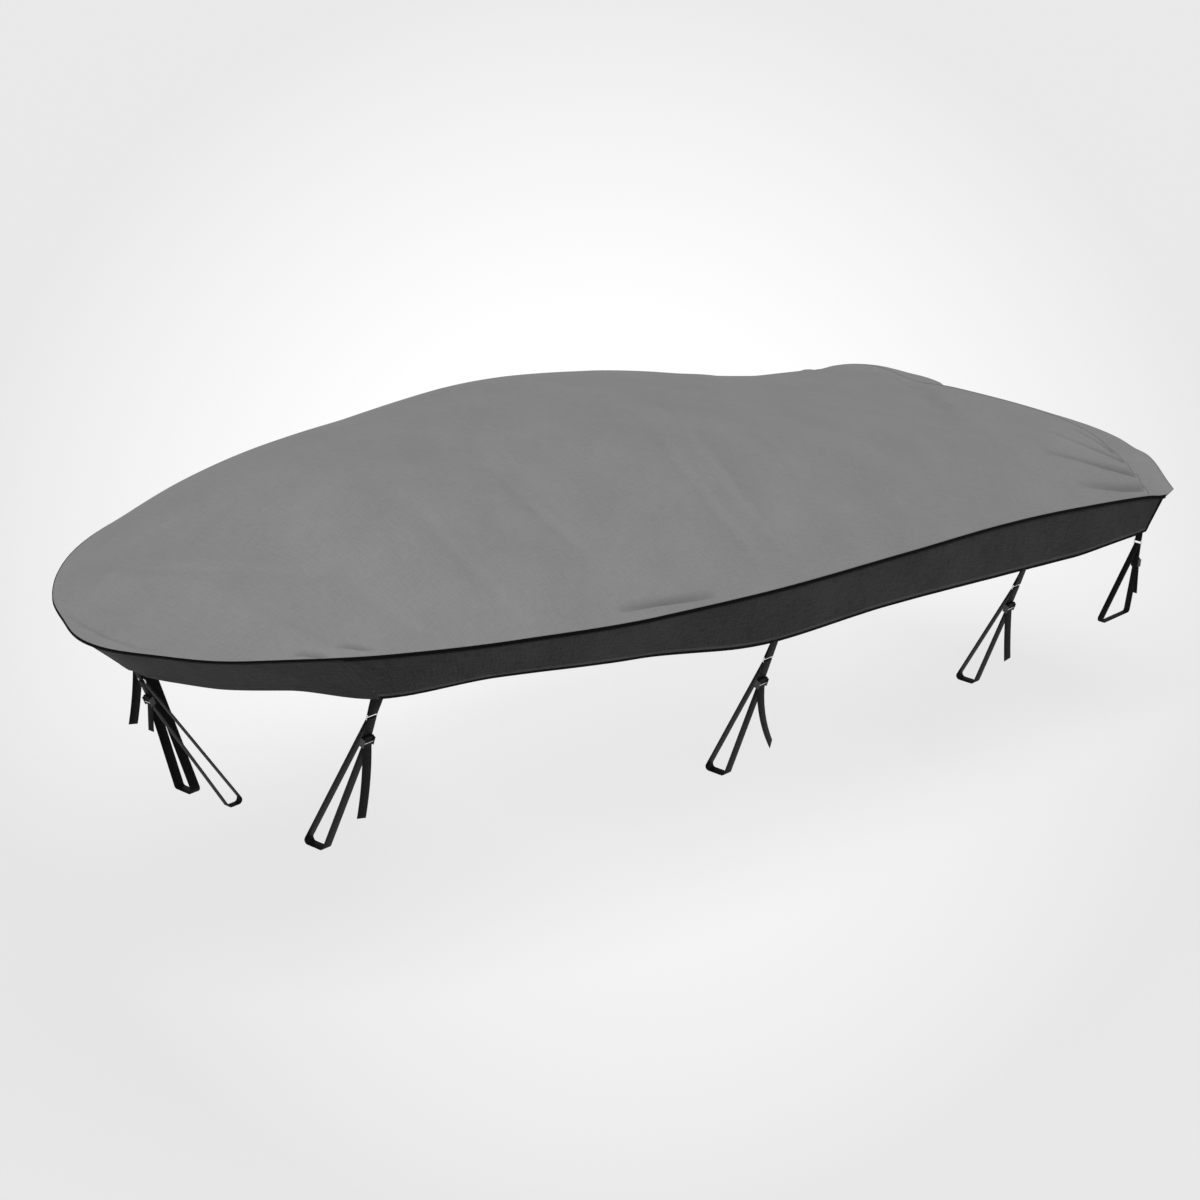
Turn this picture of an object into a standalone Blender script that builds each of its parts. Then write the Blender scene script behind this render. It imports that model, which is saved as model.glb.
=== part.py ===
"""Boat cover, drawn tight over a crowned shape and tied down with nine webbing loops.

The cover is a light grey top in two panels, a dark skirt in four lengths, black binding along the seam
between them, and nine ties of tab, ring, buckle and strap along the hem. It is modelled in the shape
that it takes when it is worn, bow towards -X and port towards -Y. Lengths are in metres. The origin is
on the underside of the top, near mid length.
"""

import math
from collections import namedtuple

import bmesh
import bpy
import numpy as np
from mathutils import Matrix, Quaternion, Vector

# Cloth, tape and webbing
CLOTH = 0.002
TAPE = 0.0015
WEBBING = 0.0018
GAP = 0.0004
EASE = 0.0006

# The cover from above: distances aft of the tip of the bow
LENGTH = 4.30
STERN_SEAM = 4.15
SKIRT_END = 4.25
MOUNT_AFT = 2.10
BOW_POLE = 0.26
BOW_SKIRT_TOP = 0.42
BOW_SKIRT_HEM = 0.54
CORNER_RAKE = 0.036
CORNER_REACH = 0.12
CORNER_POWER = 6

# The seam: how far the top turns down there, how deep the binding is along each part of it, and how
# far the upper edge of the skirt lies up under the top
LIP = 0.012
BINDING_WIDE = 0.011
BOW_BINDING_WIDE = 0.008
SKIRT_HIDDEN = 0.006

# Where the folds fade out at the seam, how far the ribs' points crowd towards it, and the least step
# along it
EDGE_POWER = 8
RIB_SPREAD = 0.8
SEAM_STEP = 0.004
WELD = 1e-6

# One row for each section. half_beam and seam_up place the seam between top and skirt, crown is the
# rise from there to the centreline, roundness the power of the arch, skirt the depth of the skirt and
# tuck how far its hem is drawn in under the seam.
Section = namedtuple("Section", "aft half_beam seam_up crown roundness skirt tuck")
SECTIONS = (
    Section(0.00, 0.000, 0.164, 0.000, 2.40, 0.134, 0.159),
    Section(0.06, 0.185, 0.163, 0.004, 2.38, 0.149, 0.159),
    Section(0.15, 0.348, 0.163, 0.020, 2.35, 0.156, 0.162),
    Section(0.30, 0.508, 0.168, 0.064, 2.30, 0.157, 0.149),
    Section(0.55, 0.680, 0.162, 0.156, 2.23, 0.187, 0.121),
    Section(0.90, 0.821, 0.145, 0.311, 2.20, 0.158, 0.109),
    Section(1.40, 0.928, 0.108, 0.367, 2.20, 0.171, 0.104),
    Section(2.00, 0.961, 0.058, 0.396, 2.63, 0.213, 0.070),
    Section(2.60, 0.939, 0.002, 0.343, 3.19, 0.202, 0.060),
    Section(3.20, 0.887, -0.068, 0.258, 3.65, 0.212, 0.048),
    Section(3.70, 0.853, -0.141, 0.211, 4.08, 0.203, 0.036),
    Section(4.15, 0.847, -0.211, 0.210, 4.60, 0.165, 0.048),
    Section(4.25, 0.849, -0.230, 0.190, 5.20, 0.146, 0.047),
    Section(4.30, 0.851, -0.222, 0.161, 5.40, 0.154, 0.046),
)

# The main folds of the top, each a soft trough or ridge between two places. across is positive to
# starboard, rise is negative for a trough, and width is the distance over which it fades away.
Fold = namedtuple("Fold", "aft across aft_end across_end width rise")
FOLDS = (
    Fold(0.64, -0.33, 0.65, -0.66, 0.14, -0.007),
    Fold(0.96, -0.33, 0.94, -0.73, 0.15, -0.009),
    Fold(1.37, -0.30, 1.30, -0.72, 0.16, -0.009),
    Fold(1.67, 0.41, 1.32, -0.05, 0.16, -0.009),
    Fold(2.09, -0.20, 1.91, -0.80, 0.16, -0.010),
    Fold(2.34, -0.06, 2.07, -0.90, 0.16, -0.010),
    Fold(3.35, 0.40, 2.52, -0.38, 0.20, -0.010),
    Fold(4.09, 0.17, 3.72, -0.33, 0.17, -0.014),
    Fold(0.30, 0.26, 0.38, -0.24, 0.16, 0.006),
    Fold(0.38, -0.24, 0.39, -0.50, 0.15, 0.005),
)

# One row for each tie, or for a pair of them, port and starboard. at is the distance aft of a tie on
# the sides and the distance from the centreline of one on the stern; lean is the angle from the
# vertical at which its upper part is pulled in, and swing how much further the foot of its loop is;
# ring, buckle and reach are the lengths from the hem to those and to that foot; hold is the depth of
# what the loop closes round; tail is the length of the free end, drift how far aft that hangs and
# twist how far its face is turned to the bow; wide is the width of the webbing, and seat the gap that
# keeps its flat tab clear of the skirt's curve.
Tie = namedtuple("Tie", "name edge at lean swing ring buckle reach hold tail drift twist wide seat")
TIES = (
    Tie("bow", "bow", 0.000, 25.0, 7.0, 0.042, 0.118, 0.64, 0.060, 0.08, 0.000, 0.0, 0.025, 0.0009),
    Tie("front", "side", 0.535, 18.0, 4.3, 0.070, 0.158, 0.60, 0.083, 0.22, -0.026, 0.0, 0.038, 0.0006),
    Tie("middle", "side", 2.008, 19.0, 0.5, 0.070, 0.162, 0.54, 0.082, 0.21, 0.060, -25.0, 0.038, 0.0004),
    Tie("rear", "side", 3.437, 20.0, 0.5, 0.072, 0.160, 0.50, 0.080, 0.18, 0.010, 0.0, 0.038, 0.0005),
    Tie("stern", "stern", 0.780, 8.0, 2.0, 0.042, 0.118, 0.30, 0.180, 0.10, 0.000, 0.0, 0.025, 0.0005),
)
SIDE_NAMES = {-1: "port", 1: "starboard"}

# A tie, measured down from the hem
TAB_HIDDEN = 0.028
TAB_BEND = 0.010
RING_HIGH = 0.016
RING_BEND = 0.004
RING_WIRE = 0.002
BUCKLE_HIGH = 0.028
BUCKLE_WALL = 0.0024
SEWN_END = 0.014
SEWN_BEND = 0.008
BAR = 0.0015
FOLD_OVER = 0.005
TAIL_TURN = 0.004
FOOT_BEND = 0.012

# Steps of the grids
POLE_STEPS = 6
BOW_STEPS = 2
SIDE_STEPS = 44
STERN_STEPS = 2
ACROSS_STEPS = 11
ARCH_STEPS = 24
TAIL_STEPS = 4
BAR_SIDES = 10
SKIRT_LEVELS = (0.0, 0.5, 1.0)
TAB_LEVELS = (1.0, 0.8)

COLOURS = {
    # name: (red, green, blue, roughness, metallic)
    "light grey polyester": (0.22, 0.22, 0.22, 0.85, 0.0),
    "charcoal polyester": (0.028, 0.028, 0.028, 0.85, 0.0),
    "black binding": (0.008, 0.008, 0.008, 0.8, 0.0),
    "black webbing": (0.010, 0.010, 0.011, 0.7, 0.0),
    "black plastic": (0.012, 0.012, 0.013, 0.4, 0.0),
    "zinc-plated steel": (0.62, 0.63, 0.65, 0.35, 1.0),
}


def smooth_curve(places, values):
    """A cubic through the points that doesn't overshoot them, as a function."""
    steps = np.diff(places)
    slopes = np.diff(values) / steps
    ends = np.empty_like(values)
    ends[0], ends[-1] = slopes[0], slopes[-1]
    for i in range(1, len(values) - 1):
        before, after = slopes[i - 1], slopes[i]
        weight_before = 2 * steps[i] + steps[i - 1]
        weight_after = steps[i] + 2 * steps[i - 1]
        ends[i] = 0.0
        if before * after > 0:
            ends[i] = (weight_before + weight_after) / (weight_before / before + weight_after / after)

    def at(place):
        i = int(np.clip(np.searchsorted(places, place, side="right") - 1, 0, len(steps) - 1))
        u = (place - places[i]) / steps[i]
        return (
            (1 + 2 * u) * (1 - u) ** 2 * values[i]
            + u * (1 - u) ** 2 * steps[i] * ends[i]
            + u * u * (3 - 2 * u) * values[i + 1]
            + u * u * (u - 1) * steps[i] * ends[i + 1]
        )

    return at


# The columns run smoothly along the square root of the distance aft, which keeps the bow round.
ROOTS = np.sqrt([row.aft for row in SECTIONS])
COLUMNS = {
    name: smooth_curve(ROOTS, np.array([getattr(row, name) for row in SECTIONS]))
    for name in Section._fields[1:]
}


def along_cover(name, aft):
    return float(COLUMNS[name](math.sqrt(max(aft, 0.0))))


def fold_rise(aft, across):
    """What the folds add to the height of the top at a place."""
    rise = 0.0
    for fold in FOLDS:
        start = Vector((fold.aft, fold.across))
        run = Vector((fold.aft_end, fold.across_end)) - start
        offset = Vector((aft, across)) - start
        share = min(max(offset.dot(run) / run.length_squared, 0.0), 1.0)
        distance = (offset - share * run).length
        rise += fold.rise * math.exp(-((2 * distance / fold.width) ** 2))
    return rise


def top_up(aft, across):
    """Height of the outer face of the top."""
    half_beam = along_cover("half_beam", aft)
    share = min(abs(across) / half_beam, 1.0) if half_beam > 0 else 1.0
    arch = 1 - share ** along_cover("roundness", aft)
    edge_fade = 1 - share**EDGE_POWER
    return along_cover("seam_up", aft) + along_cover("crown", aft) * arch + fold_rise(aft, across) * edge_fade


ORIGIN = Vector((MOUNT_AFT, 0.0, top_up(MOUNT_AFT, 0.0) - CLOTH))


def seam_plan(root):
    """The seam from above. root is the square root of the distance aft, negative to port."""
    return Vector((root * root, math.copysign(along_cover("half_beam", root * root), root), 0.0))


def seam_outward(root):
    """The level direction out from the seam."""
    after = min(root + SEAM_STEP, ROOTS[-1])
    before = max(root - SEAM_STEP, -ROOTS[-1])
    run = seam_plan(after) - seam_plan(before)
    return Vector((-run.y, run.x, 0.0)).normalized()


def seam_point(root, out, down):
    """A point beside the seam, out from it and down from it."""
    point = seam_plan(root) + out * seam_outward(root)
    point.z = along_cover("seam_up", root * root) - down
    return point


def skirt_point(root, level, out=0.0):
    """A point of the skirt's outer face, from 0 under the seam to 1 at the hem."""
    aft = root * root
    inset = CLOTH + GAP + along_cover("tuck", aft) * level - out
    down = SKIRT_HIDDEN + (along_cover("skirt", aft) - SKIRT_HIDDEN) * level
    point = seam_point(root, -inset, down)
    point.x -= CORNER_RAKE * level * math.exp(-(SKIRT_END - aft) / CORNER_REACH)
    return point


def slanted(root, level):
    """The grain of the skirt: its cut ends slope aft towards the hem, most of all at the bow seam."""
    aft = root * root
    slant = BOW_SKIRT_HEM - BOW_SKIRT_TOP
    if aft < BOW_SKIRT_TOP:
        share = math.sin(math.pi / 2 * aft / BOW_SKIRT_TOP)
    else:
        share = math.exp((BOW_SKIRT_TOP - aft) / BOW_SKIRT_TOP)
        share *= min(1.0, (SKIRT_END - aft) / BOW_SKIRT_TOP)
    return math.copysign(math.sqrt(aft + slant * share * level), root)


def material(name):
    found = bpy.data.materials.get(name)
    if found:
        return found
    red, green, blue, roughness, metallic = COLOURS[name]
    made = bpy.data.materials.new(name)
    made.use_nodes = True
    shader = made.node_tree.nodes["Principled BSDF"]
    shader.inputs["Base Color"].default_value = (red, green, blue, 1.0)
    shader.inputs["Roughness"].default_value = roughness
    shader.inputs["Metallic"].default_value = metallic
    return made


def add(name, data, finish):
    """A named object of this mesh or curve in the cover's collection."""
    piece = bpy.data.objects.new(name, data)
    data.materials.append(material(finish))
    bpy.data.collections["boat_cover"].objects.link(piece)
    return piece


def sheet(name, rows, finish, thickness, offset=-1.0, falling=None):
    """Cloth through a grid of points on its outer face, with Solidify for its thickness. Where falling
    says which way each row runs, its faces are split along the same diagonal going down and up."""
    mesh = bmesh.new()
    grid = [[mesh.verts.new(point - ORIGIN) for point in row] for row in rows]
    for gap, (row, after) in enumerate(zip(grid, grid[1:])):
        for i in range(len(row) - 1):
            corners = (row[i], row[i + 1], after[i + 1], after[i])
            if falling is None:
                mesh.faces.new(corners)
                continue
            first = 0 if falling[gap] else 1
            mesh.faces.new([corners[first + k] for k in range(3)])
            mesh.faces.new([corners[(first + k) % 4] for k in (2, 3, 4)])
    bmesh.ops.remove_doubles(mesh, verts=mesh.verts, dist=WELD)
    data = bpy.data.meshes.new(name)
    mesh.to_mesh(data)
    mesh.free()
    data.shade_smooth()
    piece = add(name, data, finish)
    solid = piece.modifiers.new("thickness", "SOLIDIFY")
    solid.thickness = thickness
    solid.offset = offset
    solid.use_even_offset = True
    solid.use_quality_normals = True
    return piece


def between(start, end, steps):
    return [start + (end - start) * i / steps for i in range(steps + 1)]


def rim_roots():
    """The stations that every piece along the seam shares, from the tip of the bow to the stern."""
    pole, skirt_top = math.sqrt(BOW_POLE), math.sqrt(BOW_SKIRT_TOP)
    roots = between(0.0, pole, POLE_STEPS) + between(pole, skirt_top, BOW_STEPS)[1:]
    legs = ((BOW_SKIRT_TOP, STERN_SEAM, SIDE_STEPS), (STERN_SEAM, SKIRT_END, STERN_STEPS))
    for start, end, steps in legs + ((SKIRT_END, LENGTH, STERN_STEPS),):
        roots += [math.sqrt(aft) for aft in between(start, end, steps)[1:]]
    return roots


def stretch(start_aft, end_aft):
    """Those stations between two distances aft, with the cut ends half a gap inside them."""
    inside = [root for root in rim_roots() if start_aft + WELD < root * root < end_aft - WELD]
    return [math.sqrt(start_aft + GAP / 2)] + inside + [math.sqrt(end_aft - GAP / 2)]


def both_sides(half):
    """Stations from the port end round the bow to the starboard end."""
    return [-root for root in reversed(half)] + [root for root in half if root > 0]


def top_panel():
    """Ribs from the spine out to the seam, turned down there. At the bow they fan out of one pole."""
    half = [root for root in rim_roots() if root * root < STERN_SEAM - WELD]
    half.append(math.sqrt(STERN_SEAM - EASE))
    rows = []
    for root in both_sides(half):
        rim = seam_plan(root)
        spine = max(rim.x, BOW_POLE)
        row = [seam_point(root, 0.0, LIP)]
        for share in between(1.0, 0.0, ACROSS_STEPS):
            share = math.sin(math.pi / 2 * share) ** RIB_SPREAD
            aft = spine + (rim.x - spine) * share
            across = rim.y * share
            row.append(Vector((aft, across, top_up(aft, across))))
        rows.append(row)
    return sheet("top_panel", rows, "light grey polyester", CLOTH)


def arch_shares():
    """Places across the stern, closer together towards its corners."""
    return [math.sin(math.pi / 2 * share) for share in between(-1.0, 1.0, ARCH_STEPS)]


def stern_panel():
    """The panel aft of the stern seam. It turns down along both sides and across the stern, but not at
    the corners, where it stands out past the skirts."""
    rows = []
    for root in stretch(STERN_SEAM + EASE - GAP / 2, LENGTH + GAP / 2):
        aft = root * root
        half_beam = along_cover("half_beam", aft)
        row = [Vector((aft, share * half_beam, top_up(aft, share * half_beam))) for share in arch_shares()]
        lip = LIP * min(1.0, (LENGTH - aft) / (LENGTH - SKIRT_END))
        rows.append([seam_point(-root, 0.0, lip)] + row + [seam_point(root, 0.0, lip)])
    lips = [LIP * corner_fade(share) for share in arch_shares()]
    turned = [point - Vector((0, 0, lip)) for point, lip in zip(rows[-1][1:-1], lips)]
    rows.append([turned[0]] + turned + [turned[-1]])
    return sheet("stern_panel", [row[::-1] for row in rows], "light grey polyester", CLOTH)


def skirt(name, roots):
    """A length of skirt between its slanted cut ends, from its hem up to under the seam."""
    rows = []
    for root in roots:
        rows.append([skirt_point(slanted(root, level), level) for level in SKIRT_LEVELS])
    return sheet(name, [row[::-1] for row in rows], "charcoal polyester", CLOTH)


def corner_fade(share):
    """1 across the stern, falling to 0 at its corners."""
    return 1.0 - abs(share) ** CORNER_POWER


def transom_point(share, level):
    """A point of the outer face of the skirt across the stern, from port to starboard by its share of
    the width, and from 0 under the stern panel to 1 at its level hem."""
    side = skirt_point(math.sqrt(SKIRT_END), level)
    hem_up = skirt_point(math.sqrt(SKIRT_END), 1.0).z
    under = SKIRT_END + (LENGTH - SKIRT_END) * corner_fade(share)
    top = skirt_point(math.sqrt(SKIRT_END), 0.0).y - CLOTH - 2 * GAP
    top_height = top_up(under, share * top) - SKIRT_HIDDEN
    aft = under + (SKIRT_END - CORNER_RAKE - under) * level
    return Vector((
        aft - CLOTH - GAP,
        share * (side.y - CLOTH - 2 * GAP),
        top_height + (hem_up - top_height) * level,
    ))


def skirt_edge(level):
    """A line round the skirt at this level, as its lower facets make it."""
    middle, hem = SKIRT_LEVELS[-2:]
    share = (level - middle) / (hem - middle)
    line = []
    for root in both_sides(rim_roots()):
        upper, lower = (skirt_point(slanted(root, edge), edge) for edge in (middle, hem))
        line.append(upper.lerp(lower, share))
    return line


def transom_skirt():
    rows = [[transom_point(share, level) for level in SKIRT_LEVELS] for share in arch_shares()]
    return sheet("transom_skirt", rows, "charcoal polyester", CLOTH)


def binding(name, roots, wide):
    """Tape over the turned-down edge of the top, level with the seam and this far down from it."""
    rows = [[seam_point(root, GAP + TAPE, down) for down in (wide, 0.0)] for root in roots]
    return sheet(name, rows, "black binding", TAPE)


class TieFrame:
    """Where a tie hangs: down its fall from the hem, out from its face and along the hem."""

    def __init__(self, tie, side):
        down = Vector((0.0, 0.0, -1.0))
        if tie.edge == "stern":
            outward = Vector((1.0, 0.0, 0.0))
            share = side * tie.at / transom_point(1.0, 1.0).y
            hem, above = (transom_point(share, level) for level in TAB_LEVELS)
            self.hem_along = outward.cross(down)
            edges = [[transom_point(share, level) for share in arch_shares()] for level in TAB_LEVELS]
        else:
            root = side * math.sqrt(tie.at)
            outward = Vector((0.0, side, 0.0)) if side else Vector((-1.0, 0.0, 0.0))
            hem, above = (skirt_point(root, level) for level in TAB_LEVELS)
            self.hem_along = seam_outward(root).cross(down)
            edges = [skirt_edge(level) for level in TAB_LEVELS]
        self.name = f"{tie.name}_{SIDE_NAMES[side]}" if side else tie.name
        self.lean = math.radians(tie.lean)
        self.along = outward.cross(down)
        self.fall = math.cos(self.lean) * down - math.sin(self.lean) * outward
        self.face = math.cos(self.lean) * outward + math.sin(self.lean) * down
        self.up_skirt = (above - hem).normalized()
        behind = self.up_skirt.cross(self.hem_along).normalized()
        back = max(self.behind_skirt(hem, behind, tie.wide, edge) for edge in edges)
        self.hem = hem + (back + CLOTH + tie.seat + WEBBING / 2) * behind

    def behind_skirt(self, hem, behind, wide, edge):
        """How far a line round the skirt comes back past a flat tab that touches it at the hem."""
        worst = 0.0
        for start, end in zip(edge, edge[1:]):
            run = (end - start).dot(self.hem_along)
            for side in (-wide / 2, wide / 2):
                share = (side - (start - hem).dot(self.hem_along)) / run
                place = start + share * (end - start)
                if 0 <= share <= 1 and (place - hem).length < 2 * TAB_HIDDEN:
                    worst = max(worst, (place - hem).dot(behind))
        return worst

    def at(self, fall, face, along=0.0):
        return self.hem + fall * self.fall + face * self.face + along * self.along


def half_turn(centre, radius, start, end, steps=6):
    """Points on an arc, as (fall, face), between two angles in degrees from straight down."""
    points = []
    for angle in between(math.radians(start), math.radians(end), steps):
        points.append((centre[0] + radius * math.cos(angle), centre[1] + radius * math.sin(angle)))
    return points


def rounded(corners, steps=3):
    """A path through corners of (fall, face, bend radius), with an arc at each corner that has one."""
    path = [Vector(corners[0][:2])]
    for before, corner, after in zip(corners, corners[1:], corners[2:]):
        here = Vector(corner[:2])
        arriving = (here - Vector(before[:2])).normalized()
        leaving = (Vector(after[:2]) - here).normalized()
        turn = arriving.angle_signed(leaving)
        cut = corner[2] * math.tan(abs(turn) / 2)
        side = Vector((-arriving.y, arriving.x)) * math.copysign(1.0, -turn)
        centre = here - cut * arriving + corner[2] * side
        for share in between(0.0, 1.0, steps):
            path.append(centre + Matrix.Rotation(-turn * share, 2) @ (here - cut * arriving - centre))
    path.append(Vector(corners[-1][:2]))
    return path


def ribbon(name, frame, path, wide, hem_turn=0.0, turns=()):
    """Webbing along a path of (fall, face) or (fall, face, along), with Solidify for its thickness.
    Above hem_turn it comes round to lie along the hem, and turns twist its last points."""
    points = [frame.at(*step) for step in path]
    turns = [0.0] * (len(points) - len(turns)) + list(turns)
    rows = []
    for i, point in enumerate(points):
        run = (points[min(i + 1, len(points) - 1)] - points[max(i - 1, 0)]).normalized()
        share = min(max(path[i][0] / hem_turn, 0.0), 1.0) if hem_turn else 1.0
        along = frame.hem_along.lerp(frame.along, share)
        across = (along - run * along.dot(run)).normalized() * wide / 2
        across.rotate(Quaternion(run, math.radians(turns[i])))
        rows.append([point - across, point + across])
    falling = [step[0] < after[0] for step, after in zip(path, path[1:])]
    return sheet(name, rows, "black webbing", WEBBING, offset=0.0, falling=falling)


# Layers of a tie, out from the line down which it falls
WRAP = RING_WIRE + EASE + WEBBING / 2
LEAF = WEBBING + EASE
REAR_WALL = -(WEBBING / 2 + EASE + BUCKLE_WALL / 2)
SEWN = 2 * REAR_WALL
MIDDLE = LEAF + GAP
FRONT_WALL = MIDDLE - REAR_WALL
FRONT = FRONT_WALL - REAR_WALL
BAR_OUT = FRONT + WEBBING / 2 + GAP + BAR


def tab(tie, frame):
    """Webbing folded round the ring, with both leaves sewn behind the hem."""
    up = TAB_HIDDEN * frame.up_skirt
    top = Vector((up.dot(frame.fall), up.dot(frame.face), up.dot(frame.along)))
    wire = tie.ring - RING_HIGH / 2
    path = [top, (0.0, 0.0), (TAB_BEND, 0.0)]
    path += half_turn((wire, -WRAP), WRAP, 90.0, -90.0)
    path += [(TAB_BEND, -LEAF - GAP), (0.0, -LEAF - GAP / 2), top - Vector((0.0, LEAF, 0.0))]
    return ribbon(f"{frame.name}_tab", frame, path, tie.wide, hem_turn=wire)


def ring(tie, frame):
    """A flat wire loop, upright in the plane of the tie."""
    curve = bpy.data.curves.new(f"{frame.name}_ring", "CURVE")
    curve.dimensions = "3D"
    curve.bevel_depth = RING_WIRE
    curve.bevel_resolution = 1
    half_wide = tie.wide / 2 + RING_WIRE + EASE
    half_high = RING_HIGH / 2
    points = []
    for quarter, (side, up) in enumerate(((1, 1), (-1, 1), (-1, -1), (1, -1))):
        for share in between(0.0, 1.0, 3):
            angle = math.pi / 2 * (quarter + share)
            along = side * (half_wide - RING_BEND) + RING_BEND * math.cos(angle)
            fall = up * (half_high - RING_BEND) + RING_BEND * math.sin(angle)
            points.append(frame.at(tie.ring + fall, -WRAP, along) - ORIGIN)
    line = curve.splines.new("POLY")
    line.points.add(len(points) - 1)
    for place, point in zip(line.points, points):
        place.co = (*point, 1.0)
    line.use_cyclic_u = True
    return add(f"{frame.name}_ring", curve, "zinc-plated steel")


def oriented(piece, frame, place):
    """Sets a piece in a tie's frame: its X along the hem, its Y out and its Z up the fall."""
    turn = Matrix((frame.along, frame.face, -frame.fall)).transposed().to_4x4()
    piece.matrix_world = Matrix.Translation(place - ORIGIN) @ turn
    return piece


def buckle(tie, frame):
    """An extruded frame: a slot for two layers of the strap, and two ears in front of it."""
    half_slot = tie.wide / 2 + EASE
    half_wide = half_slot + BUCKLE_WALL
    half_wall = BUCKLE_WALL / 2
    ear = BAR_OUT + BAR + EASE
    outline = [(-half_wide, REAR_WALL - half_wall), (half_wide, REAR_WALL - half_wall)]
    outline += [(half_wide, ear), (half_slot, ear), (half_slot, FRONT_WALL + half_wall)]
    outline += [(-half_slot, FRONT_WALL + half_wall), (-half_slot, ear), (-half_wide, ear)]
    slot = [(-half_slot, REAR_WALL + half_wall), (half_slot, REAR_WALL + half_wall)]
    slot += [(half_slot, FRONT_WALL - half_wall), (-half_slot, FRONT_WALL - half_wall)]
    curve = bpy.data.curves.new(f"{frame.name}_buckle", "CURVE")
    curve.dimensions = "2D"
    curve.fill_mode = "BOTH"
    curve.extrude = BUCKLE_HIGH / 2
    for corners in (outline, slot):
        line = curve.splines.new("POLY")
        line.points.add(len(corners) - 1)
        for place, (along, out) in zip(line.points, corners):
            place.co = (along, out, 0.0, 1.0)
        line.use_cyclic_u = True
    piece = add(f"{frame.name}_buckle", curve, "black plastic")
    return oriented(piece, frame, frame.at(tie.buckle, 0.0))


def buckle_bar(tie, frame):
    """The bright bar that holds the free end down, between the buckle's ears."""
    mesh = bmesh.new()
    length = tie.wide + 2 * (EASE - GAP)
    lie = Matrix.Rotation(math.pi / 2, 4, "Y")
    round_bar = {"cap_ends": True, "segments": BAR_SIDES, "radius1": BAR, "radius2": BAR}
    bmesh.ops.create_cone(mesh, depth=length, matrix=lie, **round_bar)
    data = bpy.data.meshes.new(f"{frame.name}_buckle_bar")
    mesh.to_mesh(data)
    mesh.free()
    piece = add(f"{frame.name}_buckle_bar", data, "zinc-plated steel")
    return oriented(piece, frame, frame.at(tie.buckle, BAR_OUT))


def strap(tie, frame):
    """One length of webbing: its end is sewn round the rear wall of the buckle, from where it runs up
    through the ring, down to the foot of the loop and back up through the buckle, then folds over the
    front wall and hangs as the free end."""
    wire = tie.ring + RING_HIGH / 2
    buckle_top = tie.buckle - BUCKLE_HIGH / 2
    buckle_foot = tie.buckle + BUCKLE_HIGH / 2
    swing = math.radians(tie.swing)
    foot = Vector((math.cos(swing), -math.sin(swing))) * tie.reach
    inward = Vector((math.sin(frame.lean), -math.cos(frame.lean)))
    fold = (FRONT - MIDDLE) / 2
    path = [(buckle_top - SEWN_END, -LEAF), (buckle_top - SEWN_BEND, -LEAF), (buckle_top, SEWN)]
    path += half_turn((buckle_foot, SEWN / 2), -SEWN / 2, -90.0, 90.0)
    path += half_turn((wire, -WRAP), WRAP, 90.0, 270.0)
    corners = [
        (wire, -2 * WRAP, 0.0),
        (*(foot + tie.hold * inward), FOOT_BEND),
        (*foot, FOOT_BEND),
        (buckle_foot, MIDDLE, FOOT_BEND),
        (buckle_top - FOLD_OVER, MIDDLE, fold),
        (buckle_top - FOLD_OVER, FRONT, fold),
        (buckle_foot + TAIL_TURN, FRONT, 0.0),
    ]
    path += rounded(corners)[1:-1]
    aft = math.copysign(tie.drift, tie.drift * frame.along.x)
    shares = between(0.0, 1.0, TAIL_STEPS)
    for share in shares:
        hang = tie.tail * share
        fall = buckle_foot + TAIL_TURN + hang * math.cos(frame.lean)
        path.append((fall, FRONT + hang * math.sin(frame.lean), aft * share * share))
    turns = [tie.twist * share * math.copysign(1.0, frame.along.x) for share in shares]
    return ribbon(f"{frame.name}_strap", frame, path, tie.wide, turns=turns)


def clear_scene():
    for piece in list(bpy.data.objects):
        bpy.data.objects.remove(piece, do_unlink=True)
    for collection in list(bpy.data.collections):
        bpy.data.collections.remove(collection)


def main():
    clear_scene()
    bpy.context.scene.collection.children.link(bpy.data.collections.new("boat_cover"))
    top_panel()
    stern_panel()
    bow = both_sides(stretch(-GAP / 2, BOW_SKIRT_TOP))
    starboard = stretch(BOW_SKIRT_TOP, SKIRT_END)
    port = [-root for root in reversed(starboard)]
    skirt("bow_skirt", bow)
    skirt("side_skirt_port", port)
    skirt("side_skirt_starboard", starboard)
    transom_skirt()
    binding("bow_binding", bow, BOW_BINDING_WIDE)
    binding("side_binding_port", port, BINDING_WIDE)
    binding("side_binding_starboard", starboard, BINDING_WIDE)
    for tie in TIES:
        for side in (0,) if tie.edge == "bow" else SIDE_NAMES:
            frame = TieFrame(tie, side)
            tab(tie, frame)
            ring(tie, frame)
            buckle(tie, frame)
            buckle_bar(tie, frame)
            strap(tie, frame)


main()
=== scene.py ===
# %% [markdown]
# # A fitted cover with a crowned top, a dark skirt and buckled ties
# The solids of the cover come packed, and they stay as they are. Each piece of cloth, tape, webbing,
# plastic and steel is made again here with the detail that shows, on the same curves and in the same
# place, and then stands for its solid.

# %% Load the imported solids
from collections import namedtuple
from functools import partial
from math import ceil, copysign, cos, exp, hypot, pi, radians, sin, sqrt, tan

import bmesh
import bpy
import numpy as np
from mathutils import Matrix, Quaternion, Vector, noise


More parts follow.
